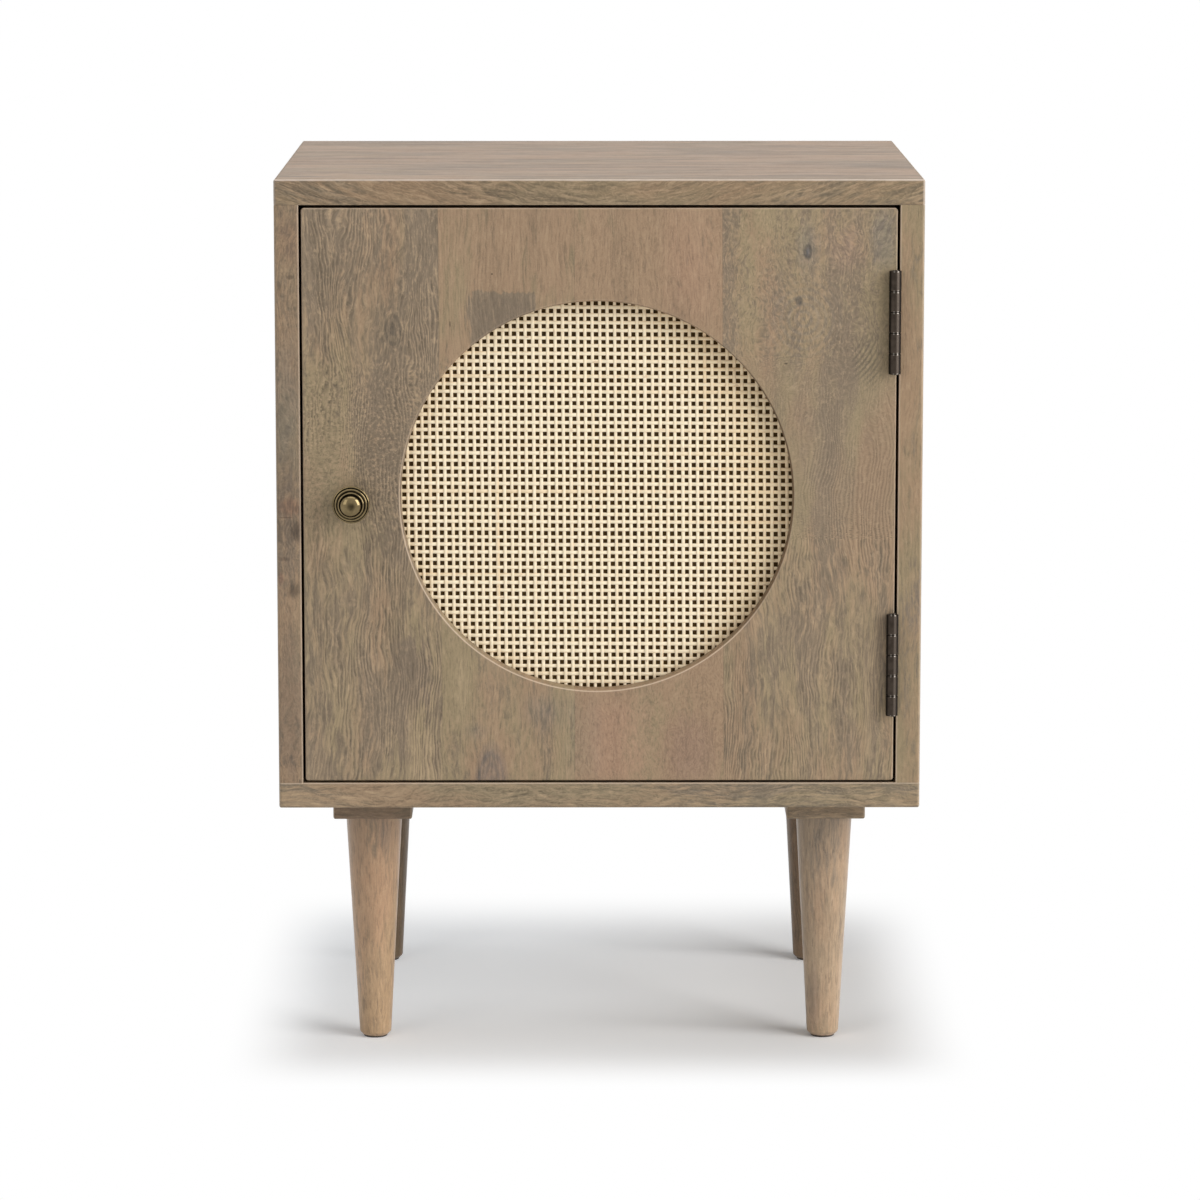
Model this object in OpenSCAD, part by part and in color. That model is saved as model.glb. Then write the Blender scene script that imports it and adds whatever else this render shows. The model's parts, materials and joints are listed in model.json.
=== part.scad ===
// Bedside pot cupboard: a small mango-wood cabinet on four turned legs. Its one
// inset door hangs on two butt hinges at the right, opens with a brass knob and
// has a round opening filled with woven cane. Millimetres, +Z up, front to -Y.
// The origin is on the floor, in the middle of the whole cupboard, knob included.

/* [Cabinet box] */
// Width of the cabinet box
body_w = 450; // [430:5:480]
// Depth of the cabinet box, without the knob
body_d = 380; // [350:5:400]
// Height of the cabinet box, without the legs
body_h = 442; // [430:2:470]
// Thickness of the two side boards
side_t = 17; // [16:0.5:19]
// Thickness of the top and bottom boards
board_t = 18; // [17:0.5:20]
// Thickness of the plywood back
back_t = 6; // [5:0.5:8]
// Width of the rebate that the back is let into
back_lap = 9; // [8:0.5:10]
// Rounding of the edges that show
edge_r = 2; // [1:0.25:2.5]
// Hairline easing of the edges that meet another board
seam_r = 0.5; // [0.3:0.1:0.8]

/* [Shelf] */
// Thickness of the shelf
shelf_t = 15; // [12:1:18]
// Height of the shelf's top above the inside bottom
shelf_rise = 196; // [150:2:240]
// Distance from the cabinet's front to the shelf's front edge
shelf_setback = 75; // [60:5:120]
// Diameter of the four shelf pins
shelf_pin_d = 5; // [4:0.5:6]

/* [Door] */
// Thickness of the door
door_t = 20; // [18:0.5:22]
// Gap between the door and each side board
door_gap = 1.8; // [1.8:0.1:2]
// Gap above the door
door_gap_top = 2; // [1.5:0.1:3]
// Gap below the door
door_gap_bottom = 1.6; // [1.5:0.1:3]
// Diameter of the round opening, inside its rounded rim
opening_d = 273; // [240:1:276]
// Rounding of the opening's front rim
rim_r = 1.5; // [1:0.25:2.5]
// Sideways place of the opening, from the middle of the door
opening_shift = -1.7; // [-3:0.1:3]
// Height of the opening's centre, from the middle of the door
opening_rise = 0; // [-3:0.1:3]

/* [Cane] */
// Depth of the rebate in the door's back that the cane lies in
rebate_d = 8; // [6:0.5:9]
// Thickness of the cane sheet
cane_t = 1.6; // [1.2:0.1:2.5]
// Spacing of the gaps in the cane net
cane_pitch = 14.4; // [14:0.2:20]
// Width of one gap in the cane net
cane_gap = 8; // [6:0.5:10]
// Thickness of the dark board behind the cane
backing_t = 2; // [1.5:0.5:3]
// Width of the battens that hold the cane and its board
batten_w = 20; // [16:1:20]
// Thickness of those battens
batten_t = 6; // [5:0.5:8]

/* [Knob] */
// How far the knob stands out from the door
knob_reach = 22; // [20:0.5:26]
// Diameter of the knob's outer bead
knob_d = 26; // [24:0.5:28]
// Distance from the door's free edge to the knob
knob_inset = 33.7; // [28:0.1:38]
// Height of the knob, from the middle of the door
knob_rise = -4; // [-10:0.1:10]

/* [Hinges] */
// Length of each hinge
hinge_len = 72; // [60:1:80]
// Radius of the hinge knuckles
knuckle_r = 4.25; // [3.5:0.25:4.5]
// Radius of the hinge pins
pin_r = 2; // [1.5:0.25:2.25]
// Thickness of the hinge leaves
leaf_t = 1.5; // [1.2:0.1:1.5]
// Distance from the door's top edge to the upper hinge
hinge_top_inset = 43; // [35:1:60]
// Distance from the door's bottom edge to the lower hinge
hinge_bottom_inset = 47; // [35:1:60]

/* [Legs] */
// Length of the turned legs with their glides
leg_h = 164; // [120:2:200]
// Diameter at the top of each leg
leg_top_d = 40; // [36:1:46]
// Diameter near the foot
leg_foot_d = 22.6; // [18:0.2:28]
// Distance from the box's side to the leg centres
leg_inset_x = 64; // [50:1:80]
// Distance from the box's front and back to the leg centres
leg_inset_y = 67; // [50:1:80]
// Side of the square block above each leg
block_w = 56; // [54:1:62]
// Thickness of the block above each leg
block_t = 16; // [14:1:20]

/* [Hidden] */
$fn = 64;

wood = "#9c876c";
leg_wood = "#b09376";
back_wood = "#8f7a60";
cane_colour = "#e6d3a2";
backing_wood = "#4e3a22";
bronze = "#4c4036";
brass = "#8d7a4c";
steel = "#b9bbbd";
plastic = "#4a3a2e";

cut = 1;            // how far a cutting shape runs past a face
fit = 0.05;         // clearance round dowels, screws and pins in their bores
face_y = -(body_d - knob_reach) / 2;
back_y = face_y + body_d;
box_z = leg_h + block_t;
top_z = box_z + body_h;
inner_w = body_w - 2 * side_t;
inner_z = box_z + board_t;
inner_top_z = top_z - board_t;
inner_h = inner_top_z - inner_z;
back_face_y = back_y - back_t;

// Door and opening
door_w = inner_w - 2 * door_gap;
door_h = inner_h - door_gap_top - door_gap_bottom;
door_z = inner_z + door_gap_bottom;
door_mid_z = door_z + door_h / 2;
door_back_y = face_y + door_t;
door_edge_r = 1.2;
door_corner_r = 2.5;
opening_x = opening_shift;
opening_z = door_mid_z + opening_rise;

// Cane sheet, its backing and battens, in a square rebate round the opening
batten_in = opening_d / 2 + 5;
batten_out = batten_in + batten_w;
rebate_half = batten_out + 0.5;
cane_half = batten_out - 2;
cane_y = door_back_y - rebate_d;
backing_y = cane_y + cane_t;
batten_y = backing_y + backing_t;

// Hinge pin line: in front of the door, just inside the gap
pin_in = 3.4;                       // from the side board's inner face to the pin
knuckle_clear = 0.35;               // from a knuckle to the door's front face
pin_x = inner_w / 2 - pin_in;
pin_y = face_y - knuckle_r - knuckle_clear;
knuckles = 5;
knuckle_len = hinge_len / knuckles;
knuckle_gap = 0.2;
knuckle_ease = 0.45;
leaf_start = knuckle_r + 0.65;      // the full-height leaf starts behind the knuckles
leaf_end = 21;
frame_leaf_x = pin_in - leaf_t;
door_leaf_x = pin_in - door_gap - leaf_t;
upper_hinge_z = door_z + door_h - hinge_top_inset - hinge_len;
lower_hinge_z = door_z + hinge_bottom_inset;
leaf_screw_y = leaf_start + (leaf_end - leaf_start) / 2 + 0.5;
leaf_screw_z = [0.16, 0.5, 0.84] * hinge_len;

// Screws: [head radius, head height, shank radius, length]
leaf_screw = [3.1, leaf_t, 1.5, 14];
back_screw = [3, 2.2, 1.4, 22];
block_screw = [3.4, 2.6, 1.8, 31];
batten_screw = [2.8, 2, 1.4, batten_t + backing_t + cane_t + 0.7 * (door_t - rebate_d)];
catch_screw = [2.6, 1.8, 1.3, 13];
strike_screw = [2.2, 1.2, 1.1, 11];

// Dowels
dowel_r = 4;
dowel_in_side = 18;
dowel_in_board = 12;
dowel_y = [0.1, 0.5, 0.88] * body_d;

// Legs
glide_t = 1.5;
glide_r = leg_foot_d / 2 - 2.8;
glide_nail = [1.4, 14];
bolt_r = 4;
bolt_in_leg = 30;
bolt_in_block = 15;
tee_nut = [9, 1.2, 5.5, 14];        // flange radius and thickness, barrel radius and length
block_screw_at = block_w / 2 - 6.5;
leg_x = body_w / 2 - leg_inset_x;
front_leg_y = face_y + leg_inset_y;
rear_leg_y = back_y - leg_inset_y;
leg_places = [[-leg_x, front_leg_y], [leg_x, front_leg_y], [-leg_x, rear_leg_y], [leg_x, rear_leg_y]];

// Shelf
shelf_top_z = inner_z + shelf_rise;
shelf_z = shelf_top_z - shelf_t;
shelf_gap = 0.5;
shelf_d = body_d - shelf_setback - back_t - 1;
shelf_pin_len = 16;
shelf_pin_y = [shelf_setback + 35, shelf_setback + shelf_d - 40];

// Knob, on the door's left
knob_x = -door_w / 2 + knob_inset;
knob_z = door_mid_z + knob_rise;
knob_bolt_r = 2;
knob_bolt_in = 9;

// Magnetic catch on the left side board, behind the door's free edge
catch_z = door_mid_z;
strike_t = 1.2;
strike_w = 12;
strike_h = 40;
strike_x = -door_w / 2 + 1.6;
magnet_gap = 0.4;
magnet_y = door_back_y + strike_t + magnet_gap;
magnet = [7, 10, 22];
magnet_in = 3.5;                    // from the side board's inner face to the magnet
magnet_proud = 0.6;                 // how far the magnet stands in front of its case
catch_body = [14, 13, 28];
catch_plate = [2.5, 13, 54];
catch_screw_y = 7;                  // from the magnet's front to the screws
catch_screw_z = 20.5;               // from the catch's middle to each screw
strike_screw_z = 15.5;

back_screw_places = concat(
    [for (s = [-1, 1], t = [-0.38, 0, 0.38]) [s * (inner_w + back_lap) / 2, box_z + body_h * (0.5 + t)]],
    [for (s = [0, 1], t = [-0.3, 0, 0.3])
        [body_w * t, s == 0 ? inner_z - back_lap / 2 : inner_top_z + back_lap / 2]]
);
batten_screw_places = [
    for (s = [-1, 1], t = [-0.6, 0.6]) each [
        [s * (batten_in + batten_out) / 2, t * batten_in],
        [t * batten_in, s * (batten_in + batten_out) / 2]
    ]
];

// ---- shared shapes ----

// A rectangle from the origin with its own radius at each corner, counter-clockwise
// from the lower left one
module eased_rect(w, h, r) {
    corners = [[0, 0], [w, 0], [w, h], [0, h]];
    difference() {
        square([w, h]);
        for (i = [0:3])
            if (r[i] > 0)
                translate(corners[i]) rotate(90 * i) difference() {
                    translate([-cut, -cut]) square(r[i] + cut);
                    translate([r[i], r[i]]) circle(r[i]);
                }
    }
}

// A board from the origin, its edges eased as three outlines say: seen from above,
// from the front and from the right
module eased_board(size, above, front, side) {
    intersection() {
        linear_extrude(size.z) eased_rect(size.x, size.y, above);
        translate([0, size.y, 0]) rotate([90, 0, 0])
            linear_extrude(size.y) eased_rect(size.x, size.z, front);
        rotate([90, 0, 90]) linear_extrude(size.x) eased_rect(size.y, size.z, side);
    }
}

// A countersunk screw: its head's flat is at the origin and faces +Z
module screw(s) {
    tip = s[2] * 2;
    cross = [s[0] * 1.1, s[2] * 0.5, s[1] * 0.7];
    difference() {
        union() {
            translate([0, 0, -s[1]]) cylinder(h = s[1], r1 = s[2], r2 = s[0]);
            translate([0, 0, tip - s[3]]) cylinder(h = s[3] - s[1] - tip, r = s[2]);
            translate([0, 0, -s[3]]) cylinder(h = tip, r1 = 0.2, r2 = s[2]);
        }
        for (a = [0, 90])
            rotate(a) translate([-cross.x / 2, -cross.y / 2, -cross.z]) cube([cross.x, cross.y, cut + cross.z]);
    }
}

// The hole for such a screw: its countersink and its bore
module screw_hole(s) {
    translate([0, 0, -s[1]]) cylinder(h = s[1], r1 = s[2], r2 = s[0]);
    translate([0, 0, -s[3] - 0.5]) cylinder(h = s[3] + 0.5, r = s[2] + fit);
    cylinder(h = cut, r = s[0]);
}

module facing_front() { rotate([90, 0, 0]) children(); }
module facing_back() { rotate([-90, 0, 0]) children(); }
module facing_right() { rotate([0, 90, 0]) children(); }
module facing_left() { rotate([0, -90, 0]) children(); }
module facing_down() { rotate([180, 0, 0]) children(); }

// ---- where the repeated pieces go ----

module at_legs() {
    for (p = leg_places) translate([p.x, p.y, 0]) children();
}

module at_block_screws() {
    for (x = [-1, 1], y = [-1, 1])
        translate([x * block_screw_at, y * block_screw_at, leg_h]) facing_down() children();
}

module at_back_screws() {
    for (p = back_screw_places) translate([p[0], back_y, p[1]]) facing_back() children();
}

module at_batten_screws() {
    for (p = batten_screw_places)
        translate([opening_x + p[0], batten_y + batten_t, opening_z + p[1]]) facing_back() children();
}

module at_hinge(z) { translate([pin_x, pin_y, z]) children(); }
module at_hinges() { for (z = [lower_hinge_z, upper_hinge_z]) at_hinge(z) children(); }

module at_frame_leaf_screws() {
    for (z = leaf_screw_z) translate([frame_leaf_x, leaf_screw_y, z]) facing_left() children();
}

module at_door_leaf_screws() {
    for (z = leaf_screw_z) translate([door_leaf_x + leaf_t, leaf_screw_y, z]) facing_right() children();
}

module at_catch_screws() {
    for (s = [-1, 1])
        translate([-inner_w / 2 + catch_plate.x, magnet_y + catch_screw_y, catch_z + s * catch_screw_z])
            facing_right() children();
}

module at_strike_screws() {
    for (s = [-1, 1])
        translate([strike_x + strike_w / 2, door_back_y + strike_t, catch_z + s * strike_screw_z])
            facing_back() children();
}

module dowels(r, in_side, in_board) {
    for (x = [-1, 1], y = dowel_y) translate([x * (body_w - side_t) / 2, face_y + y, 0]) {
        translate([0, 0, inner_z - in_board]) cylinder(h = in_board + in_side, r = r);
        translate([0, 0, inner_top_z - in_side]) cylinder(h = in_board + in_side, r = r);
    }
}

module dowel_bores() { dowels(dowel_r + fit, dowel_in_side + 0.5, dowel_in_board + 0.5); }

// The space that the back panel fills, cut out of the four boards around it
module back_rebate() {
    translate([-inner_w / 2 - back_lap, back_face_y, inner_z - back_lap])
        cube([inner_w + 2 * back_lap, back_t + cut, inner_h + 2 * back_lap]);
}

// ---- cabinet box ----

module top_panel() {
    color(wood) difference() {
        translate([-body_w / 2, face_y, inner_top_z])
            eased_board([body_w, body_d, board_t], [edge_r, edge_r, edge_r, edge_r],
                [seam_r, seam_r, edge_r, edge_r], [seam_r, 0, edge_r, edge_r]);
        back_rebate();
        dowel_bores();
        at_back_screws() screw_hole(back_screw);
    }
}

module bottom_panel() {
    color(wood) difference() {
        translate([-body_w / 2, face_y, box_z])
            eased_board([body_w, body_d, board_t], [edge_r, edge_r, edge_r, edge_r],
                [edge_r, edge_r, seam_r, seam_r], [edge_r, edge_r, 0, seam_r]);
        back_rebate();
        dowel_bores();
        at_back_screws() screw_hole(back_screw);
        at_legs() at_block_screws() screw_hole(block_screw);
    }
}

// Either side board, drawn as the right one
module side_panel() {
    translate([inner_w / 2, face_y, inner_z])
        eased_board([side_t, body_d, inner_h], [seam_r, edge_r, edge_r, 0],
            [0, seam_r, seam_r, 0], [0, 0, 0, 0]);
}

module left_side_panel() {
    color(wood) difference() {
        mirror([1, 0, 0]) side_panel();
        back_rebate();
        dowel_bores();
        at_back_screws() screw_hole(back_screw);
        shelf_pin_set(shelf_pin_d / 2 + fit, shelf_pin_len / 2 + 1);
        at_catch_screws() screw_hole(catch_screw);
    }
}

module right_side_panel() {
    color(wood) difference() {
        side_panel();
        back_rebate();
        dowel_bores();
        at_back_screws() screw_hole(back_screw);
        shelf_pin_set(shelf_pin_d / 2 + fit, shelf_pin_len / 2 + 1);
        at_hinges() at_frame_leaf_screws() screw_hole(leaf_screw);
    }
}

module back_panel() {
    color(back_wood) difference() {
        translate([-inner_w / 2 - back_lap, back_face_y, inner_z - back_lap])
            cube([inner_w + 2 * back_lap, back_t, inner_h + 2 * back_lap]);
        at_back_screws() screw_hole(back_screw);
    }
}

module back_panel_screws() {
    color(steel) at_back_screws() screw(back_screw);
}

module carcass_dowels() {
    color(leg_wood) dowels(dowel_r, dowel_in_side, dowel_in_board);
}

// ---- shelf ----

// The pins, each reaching out into the side board and in under the shelf
module shelf_pin_set(r, out, in = 0) {
    for (x = [-1, 1], y = shelf_pin_y)
        translate([x * (inner_w / 2 + (out - in) / 2), face_y + y, shelf_z - shelf_pin_d / 2])
            facing_right() cylinder(h = out + in, r = r, center = true);
}

module shelf() {
    color(wood) translate([-inner_w / 2 + shelf_gap, face_y + shelf_setback, shelf_z])
        eased_board([inner_w - 2 * shelf_gap, shelf_d, shelf_t], [0, 0, 0, 0],
            [0, 0, 0, 0], [1, 0, 0, 1]);
}

module shelf_pins() {
    color(steel) shelf_pin_set(shelf_pin_d / 2, shelf_pin_len / 2, shelf_pin_len / 2);
}

// ---- legs ----

module leg_block(i) {
    color(wood) translate([leg_places[i].x, leg_places[i].y, 0]) difference() {
        translate([-block_w / 2, -block_w / 2, leg_h])
            eased_board([block_w, block_w, block_t], [edge_r, edge_r, edge_r, edge_r],
                [edge_r, edge_r, 0, 0], [edge_r, edge_r, 0, 0]);
        translate([0, 0, leg_h - cut]) cylinder(h = block_t + 2 * cut, r = bolt_r + 0.3);
        translate([0, 0, box_z - tee_nut[3]]) cylinder(h = tee_nut[3] + cut, r = tee_nut[2] + fit);
        translate([0, 0, box_z - tee_nut[1]]) cylinder(h = tee_nut[1] + cut, r = tee_nut[0] + fit);
        at_block_screws() screw_hole(block_screw);
    }
}

module front_left_leg_block() { leg_block(0); }
module front_right_leg_block() { leg_block(1); }
module rear_left_leg_block() { leg_block(2); }
module rear_right_leg_block() { leg_block(3); }

module leg_block_screws() {
    color(steel) at_legs() at_block_screws() screw(block_screw);
}

// A straight taper with a small chamfer at the foot
module leg(i) {
    foot_z = 4.2;
    profile = [
        [0, glide_t], [leg_foot_d / 2 - 2.2, glide_t], [leg_foot_d / 2 - 0.4, foot_z - 0.9],
        [leg_foot_d / 2, foot_z], [leg_top_d / 2, leg_h - 1], [leg_top_d / 2 - 0.6, leg_h], [0, leg_h]
    ];
    color(leg_wood) translate([leg_places[i].x, leg_places[i].y, 0]) difference() {
        rotate_extrude() polygon(profile);
        translate([0, 0, leg_h - bolt_in_leg - 0.5]) cylinder(h = bolt_in_leg + cut, r = bolt_r + fit);
        cylinder(h = glide_t + glide_nail[1] + 0.5, r = glide_nail[0] + fit);
    }
}

module front_left_leg() { leg(0); }
module front_right_leg() { leg(1); }
module rear_left_leg() { leg(2); }
module rear_right_leg() { leg(3); }

module leg_bolts() {
    color(steel) at_legs() translate([0, 0, leg_h - bolt_in_leg])
        cylinder(h = bolt_in_leg + bolt_in_block, r = bolt_r);
}

module leg_tee_nuts() {
    color(steel) at_legs() difference() {
        union() {
            translate([0, 0, box_z - tee_nut[1]]) cylinder(h = tee_nut[1], r = tee_nut[0]);
            translate([0, 0, box_z - tee_nut[3]]) cylinder(h = tee_nut[3], r = tee_nut[2]);
        }
        translate([0, 0, box_z - tee_nut[3] - cut]) cylinder(h = tee_nut[3] + 2 * cut, r = bolt_r + fit);
    }
}

module leg_glides() {
    color(bronze) at_legs() {
        rotate_extrude() polygon([
            [0, 0], [glide_r - 0.5, 0], [glide_r, 0.5], [glide_r, glide_t], [0, glide_t]
        ]);
        translate([0, 0, glide_t / 2]) cylinder(h = glide_t / 2 + glide_nail[1], r = glide_nail[0]);
    }
}

// ---- hinges ----

// One leaf with its own knuckles round the pin line at the origin. The leaf's plate
// starts behind the knuckles, and a tab joins each knuckle to it
module hinge_leaf(plate_x, own, bore_r) {
    len = knuckle_len - knuckle_gap;
    for (i = own) translate([0, 0, i * knuckle_len + knuckle_gap / 2])
        rotate_extrude() eased_rect(knuckle_r, len, [0, knuckle_ease, knuckle_ease, 0]);
    for (i = own) translate([plate_x, 0, i * knuckle_len + knuckle_gap / 2])
        cube([leaf_t, leaf_start + cut, len]);
    translate([plate_x, leaf_start, 0]) cube([leaf_t, leaf_end - leaf_start, hinge_len]);
}

module pin_bore(r) { translate([0, 0, -cut]) cylinder(h = hinge_len + 2 * cut, r = r); }

module frame_leaf(z) {
    color(bronze) at_hinge(z) difference() {
        hinge_leaf(frame_leaf_x, [0, 2, 4]);
        pin_bore(pin_r);
        at_frame_leaf_screws() screw_hole(leaf_screw);
    }
}

module door_leaf(z) {
    color(bronze) at_hinge(z) difference() {
        hinge_leaf(door_leaf_x, [1, 3]);
        pin_bore(pin_r + fit);
        at_door_leaf_screws() screw_hole(leaf_screw);
    }
}

module hinge_pin(z) {
    proud = 0.4;
    color(bronze) at_hinge(z) translate([0, 0, -proud]) rotate_extrude()
        eased_rect(pin_r, hinge_len + 2 * proud, [0, proud, proud, 0]);
}

module upper_hinge_frame_leaf() { frame_leaf(upper_hinge_z); }
module lower_hinge_frame_leaf() { frame_leaf(lower_hinge_z); }
module upper_hinge_door_leaf() { door_leaf(upper_hinge_z); }
module lower_hinge_door_leaf() { door_leaf(lower_hinge_z); }
module upper_hinge_pin() { hinge_pin(upper_hinge_z); }
module lower_hinge_pin() { hinge_pin(lower_hinge_z); }

module frame_hinge_screws() {
    color(bronze) at_hinges() at_frame_leaf_screws() screw(leaf_screw);
}

module door_hinge_screws() {
    color(bronze) at_hinges() at_door_leaf_screws() screw(leaf_screw);
}

// The mortise in the door's edge that takes one door leaf
module leaf_mortise() {
    translate([door_leaf_x, 0, 0]) cube([leaf_t + cut, leaf_end, hinge_len]);
}

// ---- magnetic catch ----

module magnet_block() {
    translate([-inner_w / 2 + magnet_in, magnet_y, catch_z - magnet.z / 2]) cube(magnet);
}

module catch_case() {
    color(plastic) difference() {
        union() {
            translate([-inner_w / 2, magnet_y + magnet_proud, catch_z - catch_body.z / 2])
                eased_board(catch_body, [0, 1, 1, 0], [0, 1, 1, 0], [1, 1, 1, 1]);
            translate([-inner_w / 2, magnet_y + magnet_proud, catch_z - catch_plate.z / 2]) cube(catch_plate);
        }
        magnet_block();
        at_catch_screws() screw_hole(catch_screw);
    }
}

module catch_magnet() {
    color(bronze) magnet_block();
}

module catch_screws() {
    color(steel) at_catch_screws() screw(catch_screw);
}

module strike_plate() {
    color(steel) difference() {
        translate([strike_x, door_back_y, catch_z - strike_h / 2])
            eased_board([strike_w, strike_t, strike_h], [0, 0, 0, 0], [1.5, 1.5, 1.5, 1.5], [0, 0, 0, 0]);
        at_strike_screws() screw_hole(strike_screw);
    }
}

module strike_plate_screws() {
    color(steel) at_strike_screws() screw(strike_screw);
}

// ---- door ----

// The round opening, flared at the front into its rounded rim
module opening() {
    r = opening_d / 2;
    translate([opening_x, door_back_y + cut, opening_z]) rotate([90, 0, 0]) rotate_extrude($fn = 128) {
        square([r, door_t + 2 * cut]);
        difference() {
            translate([0, door_t + cut - rim_r]) square([r + rim_r, rim_r + cut]);
            translate([r + rim_r, door_t + cut - rim_r]) circle(rim_r);
        }
    }
}

// The rebate in the door's back for the cane, its board and the battens
module cane_rebate() {
    translate([opening_x - rebate_half, cane_y, opening_z - rebate_half])
        cube([2 * rebate_half, rebate_d + cut, 2 * rebate_half]);
}

module door_panel() {
    color(wood) difference() {
        translate([-door_w / 2, face_y, door_z])
            eased_board([door_w, door_t, door_h],
                [door_edge_r, door_edge_r, seam_r, seam_r],
                [door_corner_r, door_corner_r, door_corner_r, door_corner_r],
                [door_edge_r, seam_r, seam_r, door_edge_r]);
        opening();
        cane_rebate();
        at_hinges() leaf_mortise();
        at_hinges() at_door_leaf_screws() screw_hole(leaf_screw);
        at_batten_screws() screw_hole(batten_screw);
        at_strike_screws() screw_hole(strike_screw);
        translate([knob_x, face_y, knob_z]) facing_back()
            translate([0, 0, -cut]) cylinder(h = door_t + 2 * cut, r = knob_bolt_r + 0.2);
    }
}

// A flat net of square gaps that lie inside the opening
module cane_panel() {
    n = ceil(opening_d / cane_pitch / 2);
    reach = opening_d / 2 - 1;
    color(cane_colour) difference() {
        translate([opening_x, cane_y + cane_t, opening_z]) facing_front() linear_extrude(cane_t)
            difference() {
                square(2 * cane_half, center = true);
                for (i = [-n:n], j = [-n:n])
                    if (norm([abs(i), abs(j)] * cane_pitch + [cane_gap, cane_gap] / 2) < reach)
                        translate([i, j] * cane_pitch) square(cane_gap, center = true);
            }
        at_batten_screws() screw_hole(batten_screw);
    }
}

// A thin stained board that lies against the cane, so that its gaps look dark brown
module cane_backing() {
    color(backing_wood) difference() {
        translate([opening_x - cane_half, backing_y, opening_z - cane_half])
            cube([2 * cane_half, backing_t, 2 * cane_half]);
        at_batten_screws() screw_hole(batten_screw);
    }
}

// A batten along the sheet's edge: the upper and lower ones run right across and the
// other two fit between them
module batten(long, side, upright) {
    size = upright ? [batten_w, batten_t, 2 * long] : [2 * long, batten_t, batten_w];
    near = side > 0 ? batten_in : -batten_out;
    color(wood) difference() {
        translate([opening_x + (upright ? near : -long), batten_y, opening_z + (upright ? -long : near)])
            eased_board(size, upright ? [0, 0, 1, 1] : [0, 0, 0, 0], [0, 0, 0, 0],
                upright ? [0, 0, 0, 0] : [0, 1, 1, 0]);
        at_batten_screws() screw_hole(batten_screw);
    }
}

module upper_cane_batten() { batten(batten_out, 1, false); }
module lower_cane_batten() { batten(batten_out, -1, false); }
module left_cane_batten() { batten(batten_in, -1, true); }
module right_cane_batten() { batten(batten_in, 1, true); }

module cane_batten_screws() {
    color(steel) at_batten_screws() screw(batten_screw);
}

// A turned knob: a foot on the door, a waist, three beads that step forward and a dome
module door_knob() {
    bead = 1;
    bead_step = [2, 1.8];               // inwards and forwards from one bead to the next
    ring_r = knob_d / 2 - bead;
    head_y = knob_reach - 11.5;
    dome_r = 7;
    dome_h = 2.8;
    neck_y = head_y + 2 * bead_step.y;
    ball_r = (dome_r * dome_r + dome_h * dome_h) / (2 * dome_h);
    color(brass) translate([knob_x, face_y, knob_z]) facing_front() difference() {
        union() {
            cylinder(h = 2, r = 7.5);
            cylinder(h = head_y + 2, r = 4.8);
            translate([0, 0, head_y - 3.5]) cylinder(h = 3.5, r1 = 4.8, r2 = ring_r);
            for (i = [0:2]) translate([0, 0, head_y + i * bead_step.y]) rotate_extrude() {
                square([ring_r - i * bead_step.x, 2 * bead]);
                translate([ring_r - i * bead_step.x, bead]) circle(bead);
            }
            translate([0, 0, neck_y]) cylinder(h = knob_reach - dome_h - neck_y, r = dome_r - 0.3);
            translate([0, 0, knob_reach - dome_h]) intersection() {
                translate([0, 0, dome_h - ball_r]) sphere(ball_r);
                cylinder(h = dome_h + cut, r = dome_r);
            }
        }
        translate([0, 0, -cut]) cylinder(h = knob_bolt_in + 2 * cut, r = knob_bolt_r + fit);
    }
}

module knob_bolt() {
    head = [4.2, 2.8];
    slot = [head[0] * 2 + cut, 0.9, 1.2];
    color(steel) translate([knob_x, door_back_y, knob_z]) facing_back() difference() {
        union() {
            rotate_extrude() eased_rect(head[0], head[1], [0, 0, 1, 0]);
            translate([0, 0, -door_t - knob_bolt_in]) cylinder(h = door_t + knob_bolt_in + 1, r = knob_bolt_r);
        }
        translate([-slot.x / 2, -slot.y / 2, head[1] - slot.z]) cube([slot.x, slot.y, slot.z + cut]);
    }
}

top_panel();
bottom_panel();
left_side_panel();
right_side_panel();
back_panel();
back_panel_screws();
carcass_dowels();
shelf();
shelf_pins();
front_left_leg_block();
front_right_leg_block();
rear_left_leg_block();
rear_right_leg_block();
leg_block_screws();
front_left_leg();
front_right_leg();
rear_left_leg();
rear_right_leg();
leg_bolts();
leg_tee_nuts();
leg_glides();
upper_hinge_frame_leaf();
lower_hinge_frame_leaf();
upper_hinge_pin();
lower_hinge_pin();
frame_hinge_screws();
catch_case();
catch_magnet();
catch_screws();
door_panel();
cane_panel();
cane_backing();
upper_cane_batten();
lower_cane_batten();
left_cane_batten();
right_cane_batten();
cane_batten_screws();
door_knob();
knob_bolt();
upper_hinge_door_leaf();
lower_hinge_door_leaf();
door_hinge_screws();
strike_plate();
strike_plate_screws();
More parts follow.
